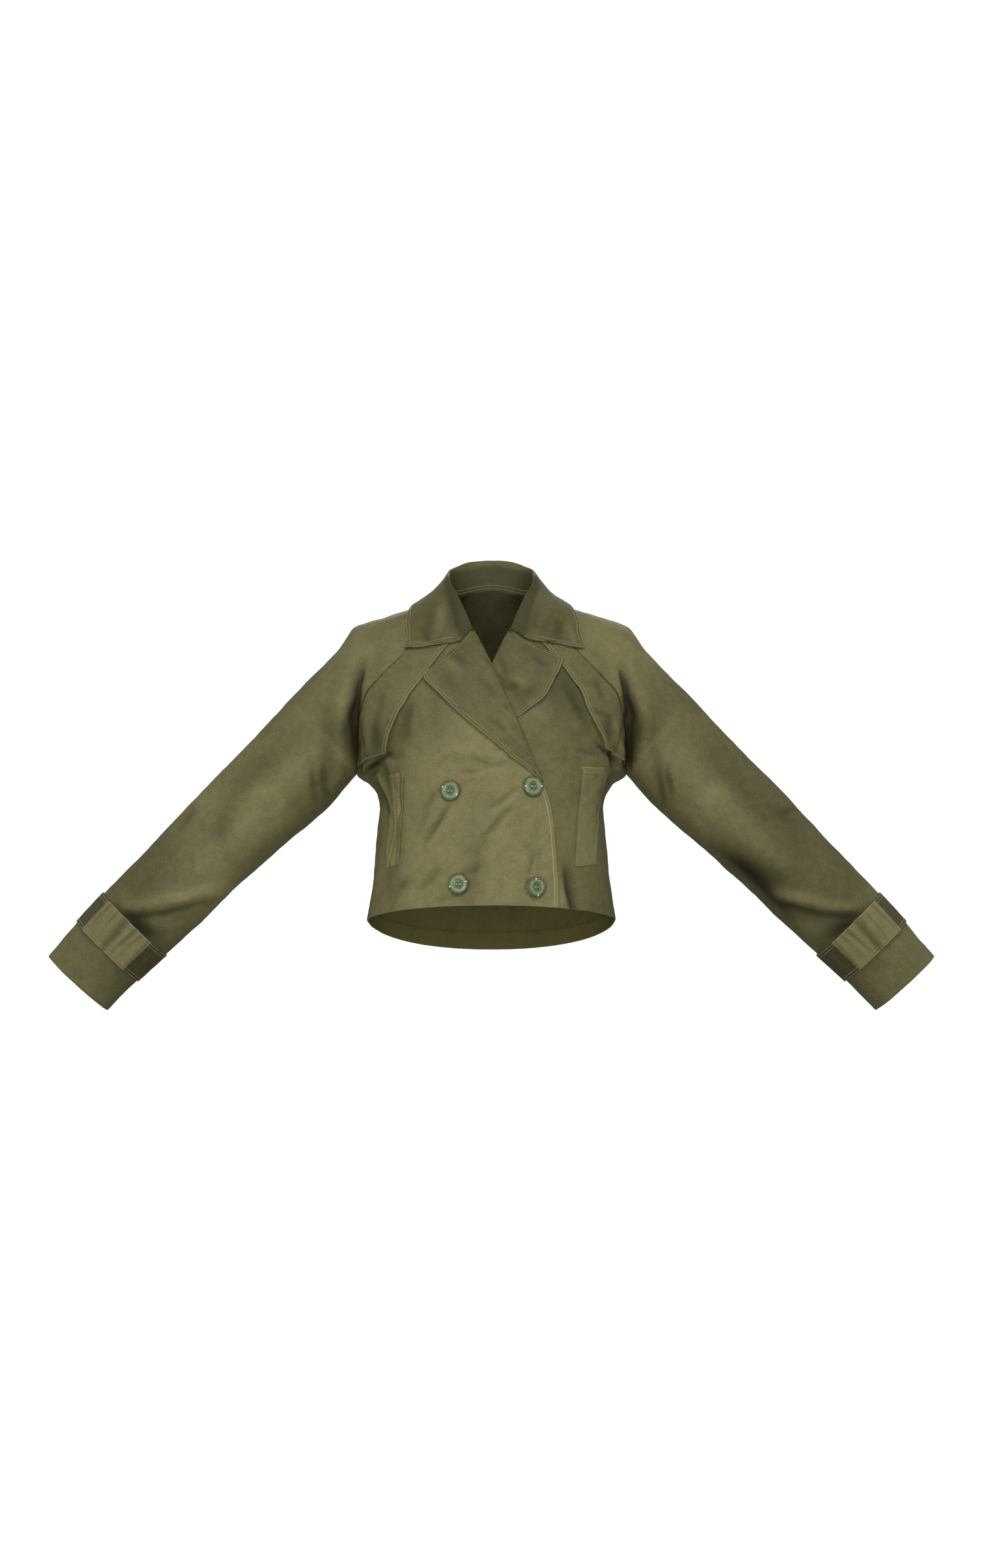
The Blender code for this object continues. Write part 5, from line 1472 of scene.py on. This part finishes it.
class Look:
    """One material, built node by node."""

    def __init__(self, name):
        self.mat = bpy.data.materials.new(name)
        self.mat.use_nodes = True
        self.tree = self.mat.node_tree
        self.tree.nodes.clear()
        self.out = self.node("ShaderNodeOutputMaterial")
        self.body = self.node("ShaderNodeBsdfPrincipled")
        self.tree.links.new(self.body.outputs[0], self.out.inputs[0])
        self.spot = self.node("ShaderNodeTexCoord").outputs["Object"]

    def node(self, kind, settings=None, sockets=None):
        n = self.tree.nodes.new(kind)
        for key, value in (settings or {}).items():
            setattr(n, key, value)
        for key, value in (sockets or {}).items():
            self.feed(n.inputs[key], value)
        return n

    def feed(self, socket, value):
        if isinstance(value, Wire):
            value = value.socket
        if isinstance(value, bpy.types.NodeSocket):
            self.tree.links.new(value, socket)
        else:
            socket.default_value = value

    def wire(self, node, output=0):
        return Wire(self, node.outputs[output])

    def noise(self, scale, **sockets):
        """Noise over the piece itself; scale = how many swells a metre."""
        return self.wire(self.node("ShaderNodeTexNoise", None,
                                   {"Vector": self.spot, "Scale": scale, **sockets}))

    def mark(self, name):
        """What the mesh holds at each point under this name."""
        return self.wire(self.node("ShaderNodeAttribute", {"attribute_name": name}), 2)

    def wave(self, angle):
        """0 to 1 and back, once in a full turn."""
        n = self.node("ShaderNodeMath", {"operation": "SINE"}, {0: angle})
        return self.wire(n) * 0.5 + 0.5

    def mix(self, share, a, b):
        n = self.node("ShaderNodeMix", {"data_type": "RGBA"}, {0: share, 6: a, 7: b})
        return n.outputs[2]

    def set(self, **sockets):
        for key, value in sockets.items():
            self.feed(self.body.inputs[key.replace("_", " ")], value)
        return self.mat


def srgb(r, g, b):
    """A colour read on the screen, 0 to 255, as Blender's linear colour."""
    lin = [((v / 255 + 0.055) / 1.055)**2.4 if v > 10 else v / 255 / 12.92 for v in (r, g, b)]
    return (*lin, 1.0)


TWILL_LINE, YARN = 0.00095, 0.00062      # one diagonal rib, one yarn, in metres
TWILL_SLOPE = 0.84


def twill_look(name, light, dark, rib, deep, sheen=0.12, rough=0.60):
    """light, dark = the cloth's paler and darker colours; rib = its raised lines, and the
    paler colour its turned edges are painted, for wear and as a painted highlight; deep =
    the painted shade of its seams and shaded places."""
    look = Look(name)
    weave = look.node("ShaderNodeUVMap", {"uv_map": "weave"})
    split = look.node("ShaderNodeSeparateXYZ", None, {0: weave.outputs[0]})
    u, v = look.wire(split, 0), look.wire(split, 1)
    diag = (u + v * TWILL_SLOPE) * (2 * math.pi / TWILL_LINE)
    ribs, yarn = look.wave(diag), look.wave(u * (2 * math.pi / YARN))
    patch = look.noise(9.0, Detail=3.0, Roughness=0.55)
    mottle = look.noise(95.0, Detail=4.0, Roughness=0.6)
    slub = look.noise(520.0, Detail=2.0, Roughness=0.6)
    turned, seam, painted_shading = [look.mark(key) for key in ("turned", "seam", "painted_shading")]
    cloud = look.noise(30.0, Detail=3.0, Roughness=0.6)
    # the cloth's own mottling, moved paler and darker by the painted light and shade of each place
    share = patch * 1.0 + cloud * 0.5 + mottle * 0.9 + slub * 1.3 - 1.31 + painted_shading * 0.44
    base = look.mix(share, dark, light)
    base = look.mix((ribs * 0.6 + yarn * 0.4) * 0.16, base, rib)
    # turned edges painted paler, for wear and as a painted highlight
    base = look.mix(turned * 0.40, base, rib)
    # painted shade: along the seams, then in folds and other shaded places
    base = look.mix(seam * 0.55, base, deep)
    base = look.mix(painted_shading * -0.52, base, deep)
    height = ribs * 0.7 + yarn * 0.3 + slub * 0.5
    weave_bump = look.node("ShaderNodeBump", None,
                           {"Strength": 0.30, "Distance": 0.00018, "Height": height})
    crumple = look.node("ShaderNodeBump", None,
                        {"Strength": 0.35, "Distance": 0.0012, "Height": mottle,
                         "Normal": weave_bump.outputs[0]})
    return look.set(Base_Color=base, Roughness=rough + mottle * 0.16,
                    Normal=crumple.outputs[0], Sheen_Weight=sheen, Sheen_Roughness=0.45,
                    Sheen_Tint=rib, Specular_IOR_Level=0.25)


def button_look():
    """Swirled green resin, paler on the raised rim."""
    look = Look("sage_button")
    swirl = look.noise(160.0, Detail=3.0, Distortion=1.2)
    raised = look.mark("raised")
    base = look.mix(swirl * 1.3 - 0.15, srgb(74, 90, 56), srgb(104, 122, 84))
    base = look.mix(raised * 0.55, base, srgb(152, 172, 142))
    scuff = look.noise(900.0, Detail=2.0)
    return look.set(Base_Color=base, Roughness=0.30 + scuff * 0.12, Specular_IOR_Level=0.5)


def glint_pip_look():
    """Painted glints: the two pale glossy specks that stand in for highlights on a button's rim."""
    look = Look("painted_glint_pip")
    base = look.mix(look.noise(800.0), srgb(196, 204, 190), srgb(236, 240, 232))
    return look.set(Base_Color=base, Roughness=0.18, Specular_IOR_Level=0.8)


def thread_look(name, light, dark):
    """Sewing thread, in two tones for its plies."""
    look = Look(name)
    ply = look.noise(1500.0, Detail=2.0)
    base = look.mix(ply, dark, light)
    return look.set(Base_Color=base, Roughness=0.5 + ply * 0.1, Sheen_Weight=0.3)


twill = twill_look("olive_twill", srgb(134, 128, 84), srgb(95, 90, 55), srgb(150, 144, 102),
                   srgb(32, 31, 15))
# The same twill painted darker for the inside faces: painted shade for the light that does not
# reach inside.
inside_twill_painted_shade = twill_look("twill_inside_painted_shade", srgb(96, 91, 50), srgb(68, 63, 32),
                         srgb(106, 100, 60), srgb(36, 33, 16), sheen=0.05, rough=0.72)
thread = thread_look("topstitch_thread", srgb(158, 152, 106), srgb(130, 124, 80))
pale_thread = thread_look("pale_topstitch_thread", srgb(206, 202, 160), srgb(168, 162, 118))
sage = button_look()
painted_glint = glint_pip_look()

make_panels()
for side, word in ((-1, "right"), (1, "left")):
    make_flap(side, word)
    make_lapel(side, word)
    make_welt(side, word)
    make_strap(side, word)
make_collar()


# ------------------------------------------------------------------ stitching
SEWN = {}                # the made rows of stitches, by name
STITCH_R, STITCH_BAR = 0.36, 2.0         # a stitch's radius, and its straight middle
STITCH_UP = 0.06         # how far a stitch's middle stands above the cloth


def clear_selection():
    """Back to object mode with nothing selected."""
    if bpy.context.object and bpy.context.object.mode != "OBJECT":
        bpy.ops.object.mode_set(mode="OBJECT")
    bpy.ops.object.select_all(action="DESELECT")


def model_stitch():
    """One stitch of sewing thread: a short bar whose ends sink into the cloth."""
    clear_selection()
    bpy.ops.mesh.primitive_cylinder_add(vertices=6, radius=STITCH_R * MM,
                                        depth=STITCH_BAR * MM, end_fill_type="NGON",
                                        rotation=(0, math.pi / 2, 0))
    bpy.ops.object.transform_apply(location=True, rotation=True, scale=True)
    ob = bpy.context.object
    bpy.ops.object.mode_set(mode="EDIT")
    bpy.ops.mesh.select_all(action="DESELECT")
    bpy.ops.object.mode_set(mode="OBJECT")
    for end in (-1, 1):
        for poly in ob.data.polygons:
            poly.select = poly.normal.x * end > 0.9
        bpy.ops.object.mode_set(mode="EDIT")
        bpy.ops.mesh.extrude_region_move(
            TRANSFORM_OT_translate={"value": (end * 0.42 * MM, 0, -0.28 * MM)})
        bpy.ops.transform.resize(value=(1, 0.6, 0.6))
        bpy.ops.mesh.select_all(action="DESELECT")
        bpy.ops.object.mode_set(mode="OBJECT")
    v = np.array([tuple(x.co) for x in ob.data.vertices])
    f = [tuple(p.vertices) for p in ob.data.polygons]
    bpy.data.objects.remove(ob, do_unlink=True)
    return v, f


STITCH_V, STITCH_F = model_stitch()
rng = np.random.default_rng(11)


def read_at(q, x, v):
    """Points or facings v, known at x, read at q."""
    return np.stack([np.interp(q, x, v[:, d]) for d in range(3)], -1)


def resample(p, n, pitch, offset):
    """Points at even steps along a line, with their facings and the way the line runs."""
    run = run_length(p[:, None], 0)[:, 0]
    k = np.arange(offset, run[-1] - offset, pitch)
    ahead = (read_at(np.minimum(k + 0.8, run[-1]), run, p)
             - read_at(np.maximum(k - 0.8, 0), run, p))
    return read_at(k, run, p), unit(read_at(k, run, n)), unit(ahead)


def sew(name, rows, look=None, size=1.0):
    """Rows of stitches along lines of points with facings, as one piece."""
    verts, faces, base = [], [], 0
    for p, n in rows:
        if len(p) < 3:
            continue
        q, m, along = resample(p, n, STITCH_PITCH, 1.5)
        m = unit(m - np.sum(m * along, -1, keepdims=True) * along)
        side_ = np.cross(m, along)
        for i in range(len(q)):
            skew = rng.normal(0, 0.05)
            ax = along[i] * math.cos(skew) + side_[i] * math.sin(skew)
            sy = np.cross(m[i], ax)
            long_ = 1 + rng.normal(0, 0.05)
            v = (STITCH_V[:, :1] * long_ * ax + STITCH_V[:, 1:2] * size * sy
                 + STITCH_V[:, 2:] * size * m[i]) + (q[i] + m[i] * STITCH_UP) * MM
            verts.append(v)
            faces += [tuple(base + k for k in f) for f in STITCH_F]
            base += len(v)
    me = bpy.data.meshes.new(name)
    me.from_pydata(np.concatenate(verts).tolist(), [], faces)
    me.update()
    me.materials.append(look or thread)
    me.polygons.foreach_set("use_smooth", np.ones(len(me.polygons), dtype=bool))
    ob = put_in_scene(name, me)
    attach(ob, "root")
    SEWN[name] = ob


def inset_line(g, m, d, side="end"):
    """The line that runs d inside a grid's last (or first) column, square to that edge."""
    if side == "start":
        g, m = g[:, ::-1], m[:, ::-1]
    edge = g[:, -1]
    way = unit(np.gradient(edge, axis=0))
    inwards = unit(g[:, -6] - edge)
    slant = np.linalg.norm(np.cross(way, inwards), axis=-1)
    want = d / np.clip(slant, 0.35, 1)
    run = run_length(g[:, ::-1], 1)
    p, n = np.empty_like(edge), np.empty_like(edge)
    for i in range(len(edge)):
        p[i], n[i] = [read_at(want[i], run[i], v[i, ::-1]) for v in (g, m)]
    return p, unit(n)


def at_x(g, want, across=None):
    """What a grid holds, row by row, where it crosses the given x."""
    x = (g if across is None else across)[..., 0]
    return np.array([read_at(w, xs, row) if xs[0] < xs[-1] else read_at(-w, -xs, row)
                     for w, xs, row in zip(want, x, g)])


def turned(g, m):
    """The same grid with its rows and columns changed over."""
    return np.swapaxes(g, 0, 1), np.swapaxes(m, 0, 1)


def make_stitching():
    """Every topstitched row, laid from the finished grids."""
    for word in ("right", "left"):
        g, m = OUTER["lapel_" + word]
        sew("stitching_lapel_" + word, [inset_line(g, m, EDGE_ROW), inset_line(g, m, SECOND_ROW)])
        g, m = OUTER["storm_flap_" + word]
        tg, tm = turned(g, m)
        sew("stitching_flap_" + word, [inset_line(g, m, EDGE_ROW), inset_line(g, m, SECOND_ROW),
                                       inset_line(tg[12:], tm[12:], EDGE_ROW)])
        g, m = OUTER["sleeve_strap_" + word]
        g, m = np.concatenate([g, g[:, :1]], 1), np.concatenate([m, m[:, :1]], 1)
        tg, tm = turned(g, m)
        sew("stitching_strap_" + word,
            [inset_line(tg, tm, d, s) for s in ("start", "end")
             for d in (EDGE_ROW, SECOND_ROW)])
    g, m = OUTER["collar"]
    sew("stitching_collar", [inset_line(g[2:-2], m[2:-2], EDGE_ROW),
                             inset_line(g[3:-3], m[3:-3], SECOND_ROW)])
    run = run_length(g, 1)
    rows = []
    for at_ in NECK_STITCHES:
        p, n = [np.array([read_at(at_, r, row) for r, row in zip(run, v)]) for v in (g, m)]
        rows.append((p[24:-24], unit(n[24:-24])))
    sew("stitching_neck", rows)
    g, m = OUTER["front_right"]
    low = g[:, -1, 2] < CLOSING_ROW_TOP
    sew("stitching_closing_edge", [inset_line(g[low], m[low], SECOND_ROW)], pale_thread,
        size=1.15)
    for word, side in (("right", -1), ("left", 1)):
        g, m = OUTER["pocket_welt_" + word]
        tg, tm = turned(g, m)
        if side < 0:
            want = pocket_row_x(g[:, 0, 2])
            rows = [(at_x(g, want)[3:-3], at_x(m, want, g)[3:-3])]
        else:
            rows = [inset_line(g[6:], m[6:], WELT_ROW)]
            rows += [inset_line(tg[2:-9], tm[2:-9], d, "start") for d in WELT_TOP_ROWS]
            rows.append(inset_line(tg[2:-7], tm[2:-7], WELT_FOOT_ROW))
        sew("stitching_pocket_" + word, rows)


make_stitching()


# ------------------------------------------------------------------ buttons
# The turned face, ring by ring from the underside: how far each step spreads and rises.
BUTTON_RINGS = ((1.3, 0.45), (0.5, 0.55), (-0.2, 0.65), (-0.9, 0.45), (-1.4, 0.40),
                (-1.2, 0.30), (-0.9, 0.05), (-1.0, -0.45), (-1.1, -0.50), (-0.9, -0.12),
                (-2.2, 0.0))


def select_faces(ob, test):
    """In edit mode, only the faces whose centre and normal pass the test are selected."""
    bpy.ops.object.mode_set(mode="OBJECT")
    for v in ob.data.vertices:
        v.select = False
    for e in ob.data.edges:
        e.select = False
    for poly in ob.data.polygons:
        poly.select = bool(test(poly.center, poly.normal))
    bpy.ops.object.mode_set(mode="EDIT")


def on_top(centre, normal):
    """Whether a face is the one in the middle of the button's top."""
    return normal.z > 0.9 and abs(centre.x) < 1e-5 and abs(centre.y) < 1e-5


def model_button():
    """Four-hole button, face up at the origin: raised rim, dished middle."""
    clear_selection()
    bpy.ops.mesh.primitive_cylinder_add(vertices=64, radius=(BUTTON_R - 1.9) * MM,
                                        depth=0.8 * MM, location=(0, 0, 0.4 * MM))
    ob = bpy.context.object
    bpy.ops.object.transform_apply(location=True, rotation=True, scale=True)
    bpy.ops.object.mode_set(mode="EDIT")
    bpy.ops.mesh.select_mode(type="FACE")
    for grow, rise in BUTTON_RINGS:
        select_faces(ob, on_top)
        bpy.ops.mesh.extrude_region_move(
            TRANSFORM_OT_translate={"value": (0, 0, rise * MM)})
        bpy.ops.object.mode_set(mode="OBJECT")
        face = [p for p in ob.data.polygons if p.select][0]
        r = max(math.hypot(*ob.data.vertices[i].co[:2]) for i in face.vertices)
        bpy.ops.object.mode_set(mode="EDIT")
        k = (r + grow * MM) / r
        bpy.ops.transform.resize(value=(k, k, 1))
    bpy.ops.object.mode_set(mode="OBJECT")
    for i in range(4):
        u = HOLE_TURN + i * math.pi / 2
        clear_selection()
        bpy.ops.mesh.primitive_cylinder_add(vertices=20, radius=HOLE_R * MM, depth=12 * MM,
                                            location=(HOLE_AT * MM * math.cos(u),
                                                      HOLE_AT * MM * math.sin(u), 0))
        drill = bpy.context.object
        bpy.ops.object.transform_apply(location=True, rotation=True, scale=True)
        clear_selection()
        ob.select_set(True)
        bpy.context.view_layer.objects.active = ob
        cut = ob.modifiers.new("hole", "BOOLEAN")
        cut.operation, cut.solver, cut.object = "DIFFERENCE", "EXACT", drill
        bpy.ops.object.modifier_apply(modifier=cut.name)
        bpy.data.objects.remove(drill, do_unlink=True)
    soft = ob.modifiers.new("soft", "BEVEL")
    soft.width, soft.segments, soft.limit_method = 0.18 * MM, 2, "ANGLE"
    soft.angle_limit = math.radians(50)
    bpy.ops.object.modifier_apply(modifier=soft.name)
    bpy.ops.object.shade_smooth_by_angle(angle=math.radians(40))
    ring = ob.data.attributes.new("raised", "FLOAT", "POINT")
    for v, out in zip(ob.data.vertices, ring.data):
        out.value = math.exp(-((math.hypot(v.co.x, v.co.y) / MM - 9.0) / 1.3)**2)
    return ob


def model_button_thread():
    """Two bars of thread between the holes."""
    clear_selection()
    parts = []
    for i in (0, 1):
        u = HOLE_TURN - math.pi / 2 + i * math.pi
        a, b = [Vector((HOLE_AT * math.cos(w), HOLE_AT * math.sin(w), 0)) * MM
                for w in (u, u + math.pi / 2)]
        for shift in (-0.30, 0.30):
            mid, way = (a + b) / 2, (b - a)
            off = Vector((-way.y, way.x, 0)).normalized() * shift * MM
            bpy.ops.mesh.primitive_cylinder_add(
                vertices=10, radius=0.34 * MM, depth=way.length - 1.6 * MM,
                location=mid + off + Vector((0, 0, 2.75 * MM)),
                rotation=(0, math.pi / 2, math.atan2(way.y, way.x)))
            ob = bpy.context.object
            bpy.ops.object.transform_apply(location=True, rotation=True, scale=True)
            for end in (a, b):
                for poly in ob.data.polygons:
                    c = poly.center - end
                    poly.select = (len(poly.vertices) > 4
                                   and math.hypot(c.x, c.y) < 1.6 * MM)
                bpy.ops.object.mode_set(mode="EDIT")
                bpy.ops.mesh.select_mode(type="FACE")
                toward = (end - mid).normalized() * 0.3 * MM
                bpy.ops.mesh.extrude_region_move(
                    TRANSFORM_OT_translate={"value": (toward.x, toward.y, -0.6 * MM)})
                bpy.ops.mesh.extrude_region_move(
                    TRANSFORM_OT_translate={"value": (0, 0, -1.9 * MM)})
                bpy.ops.mesh.select_all(action="DESELECT")
                bpy.ops.object.mode_set(mode="OBJECT")
            parts.append(ob)
            clear_selection()
    for ob in parts:
        ob.select_set(True)
    bpy.context.view_layer.objects.active = parts[0]
    bpy.ops.object.join()
    bpy.ops.object.shade_smooth_by_angle(angle=math.radians(60))
    return parts[0]


def model_glint_pips():
    """Two small pale bumps, opposite each other on the rim, that stand in for its glints."""
    clear_selection()
    for way in (-1, 1):
        place = (way * (BUTTON_R - PIP_INSET) * MM, 0, PIP_UP * MM)
        bpy.ops.mesh.primitive_uv_sphere_add(segments=14, ring_count=8, radius=PIP_R * MM,
                                             location=place)
        bpy.ops.transform.resize(value=(1, 1, 0.8))
        ob = bpy.context.object
        bpy.ops.object.transform_apply(location=True, rotation=True, scale=True)
        ob.select_set(False)
        if way > 0:
            first.select_set(True)
            ob.select_set(True)
            bpy.context.view_layer.objects.active = first
            bpy.ops.object.join()
        first = ob if way < 0 else first
    bpy.ops.object.shade_smooth()
    return first


def make_buttons():
    """Four buttons from one turned pattern, each sewn on at its own place, lean and turn."""
    disc, bars, glint_pips = model_button(), model_button_thread(), model_glint_pips()
    tab = table(BUTTONS)
    for i, (x, z, tilt) in enumerate(zip(tab["x"], tab["z"], tab["tilt"])):
        c, t = find_on_front(x, z)
        p, n = laid(c, t, np.array(0.6), -1)
        n = Vector(n)
        a = Vector((0, 0, 1)).cross(n).normalized()
        b = n.cross(a)
        turn = Matrix((a, b, n)).transposed().to_4x4()
        lean = Matrix.Rotation(math.radians(tilt), 4, "Y")
        lift = Vector((0, 0, math.sin(math.radians(abs(tilt))) * BUTTON_R * MM * 0.55))
        put = Matrix.Translation(Vector(p * MM)) @ turn @ Matrix.Translation(lift) @ lean
        spin = Matrix.Rotation(math.radians(PIPS_AT[i]), 4, "Z")
        for master, name, look, own in (
                (disc, "button_%d_face" % (i + 1), sage, Matrix.Identity(4)),
                (bars, "button_%d_thread" % (i + 1), pale_thread, Matrix.Identity(4)),
                (glint_pips, "button_%d_pips" % (i + 1), painted_glint, spin)):
            me = master.data.copy()
            me.transform(put @ own)
            me.materials.clear()
            me.materials.append(look)
            ob = put_in_scene(name, me)
            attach(ob, "root")
            if master is disc:
                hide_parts("button_%d" % (i + 1))
    for master in (disc, bars, glint_pips):
        bpy.data.objects.remove(master, do_unlink=True)


make_buttons()

# ------------------------------------------------------------------ cut sizes
# The stitching that belongs to each laid piece, by how the names of both begin.
SEWN_ON = (("lapel", "lapel"), ("storm_flap", "flap"), ("sleeve_strap", "strap"),
           ("pocket_welt", "pocket"))


def stitching_of(piece):
    """The names of the stitched rows that belong to a piece."""
    if piece == "collar":
        return ["stitching_collar", "stitching_neck"]
    if piece == "front_right":
        return ["stitching_closing_edge"]
    word = "right" if piece.endswith("right") else "left"
    return ["stitching_%s_%s" % (row, word) for start, row in SEWN_ON if piece.startswith(start)]


for ob, piece, wide, long_, area, held, rests in SHEETS:
    [SEWN[name] for name in stitching_of(piece)]
    print("CUT %-20s %.0f x %.0f mm, %.4f m2" % (piece, wide / MM, long_ / MM, area))


# ------------------------------------------------------------------ floor, light, camera
def pale_look():
    """Matt pale paper that gives a little light of its own."""
    look = Look("pale_paper")
    base = look.mix(look.noise(3.0), (0.88, 0.88, 0.88, 1), (0.92, 0.92, 0.92, 1))
    return look.set(Base_Color=base, Roughness=0.9, Specular_IOR_Level=0.1,
                    Emission_Color=(1, 1, 1, 1), Emission_Strength=0.85)


def make_sweep():
    """Pale paper all round: a floor well below the coat that curves up into a wall."""
    floor, flat, bend = -0.80, 5.0, 1.2
    prof = [(0.01, floor), (2.0, floor), (flat, floor)]
    prof += [(flat + bend * math.sin(a), floor + bend * (1 - math.cos(a)))
             for a in np.linspace(0.15, math.pi / 2, 12)]
    prof += [(flat + bend, 2.5), (flat + bend, 6.0)]
    turns = 72
    ring = [(math.cos(a), math.sin(a)) for a in np.linspace(0, 2 * math.pi, turns + 1)[:-1]]
    verts = [(r * x, r * y, z) for r, z in prof for x, y in ring]
    faces = [(i * turns + j, i * turns + (j + 1) % turns,
              (i + 1) * turns + (j + 1) % turns, (i + 1) * turns + j)
             for i in range(len(prof) - 1) for j in range(turns)]
    faces.append(tuple(range(turns)))
    me = bpy.data.meshes.new("paper_sweep")
    me.from_pydata(verts, [], faces)
    me.polygons.foreach_set("use_smooth", np.ones(len(faces), dtype=bool))
    me.materials.append(pale_look())
    ob = put_in_scene("paper_sweep", me)
    # the paper is far off: neither its light nor its reflection reaches the cloth
    ob.visible_diffuse = ob.visible_glossy = False


# Lamps: where each hangs, what it points at, its size, its power; all in metres and watts.
LAMPS = (
    ("key_above", (0.0, -1.75, 1.45), (0, 0, -0.22), (1.1, 0.7), 24),
    ("front_fill", (0.0, -2.8, -0.1), (0, 0, -0.25), (1.6, 1.0), 7),
    ("low_fill", (0.0, -2.0, -0.70), (0, 0.1, -0.42), (0.7, 0.12), 14),
    ("back_key", (0.0, 2.1, 1.3), (0, 0, -0.22), (1.2, 0.8), 24),
    ("back_fill", (0.0, 2.7, -0.2), (0, 0, -0.25), (1.6, 1.0), 12),
    ("side_right", (-2.4, 0.3, 0.3), (0, 0, -0.3), (0.8, 0.8), 8),
    ("side_left", (2.4, 0.3, 0.3), (0, 0, -0.3), (0.8, 0.8), 8),
    ("glint_right", (-1.9, -1.7, 0.35), (0, 0, -0.3), (0.2, 0.2), 3),
    ("glint_left", (1.9, -1.7, 0.35), (0, 0, -0.3), (0.2, 0.2), 3),
)
WORLD_LIGHT = 0.22


def softbox(name, place, target, size, power):
    """A soft rectangular lamp that points at its target."""
    lamp = bpy.data.lights.new(name, "AREA")
    lamp.shape, lamp.size, lamp.size_y, lamp.energy = "RECTANGLE", size[0], size[1], power
    ob = put_in_scene(name, lamp)
    ob.location = place
    ob.rotation_euler = (Vector(target) - Vector(place)).to_track_quat("-Z", "Y").to_euler()


make_sweep()
for lamp_row in LAMPS:
    softbox(*lamp_row)
world = bpy.data.worlds.new("studio")
bpy.context.scene.world = world
world.use_nodes = True
world.node_tree.nodes["Background"].inputs[0].default_value = (1, 1, 1, 1)
world.node_tree.nodes["Background"].inputs[1].default_value = WORLD_LIGHT
bpy.context.scene.view_settings.view_transform = "Standard"

FRAME_W, PIXEL = 1512, 0.93e-3       # the frame's width and what one pixel spans at the coat
DISTANCE, LOOK_AT, LOOK_UP = 3.4, Vector((0, 0, -0.25)), math.radians(-6)
FILM = 36.0
eye = bpy.data.cameras.new("camera")
eye.sensor_fit, eye.sensor_width = "HORIZONTAL", FILM
eye.lens = FILM * DISTANCE / (FRAME_W * PIXEL)
cam = put_in_scene("camera", eye)
back_off = Vector((0, -math.cos(LOOK_UP), math.sin(LOOK_UP)))
cam.location = LOOK_AT + back_off * DISTANCE
cam.rotation_euler = (-back_off).to_track_quat("-Z", "Y").to_euler()
bpy.context.scene.camera = cam
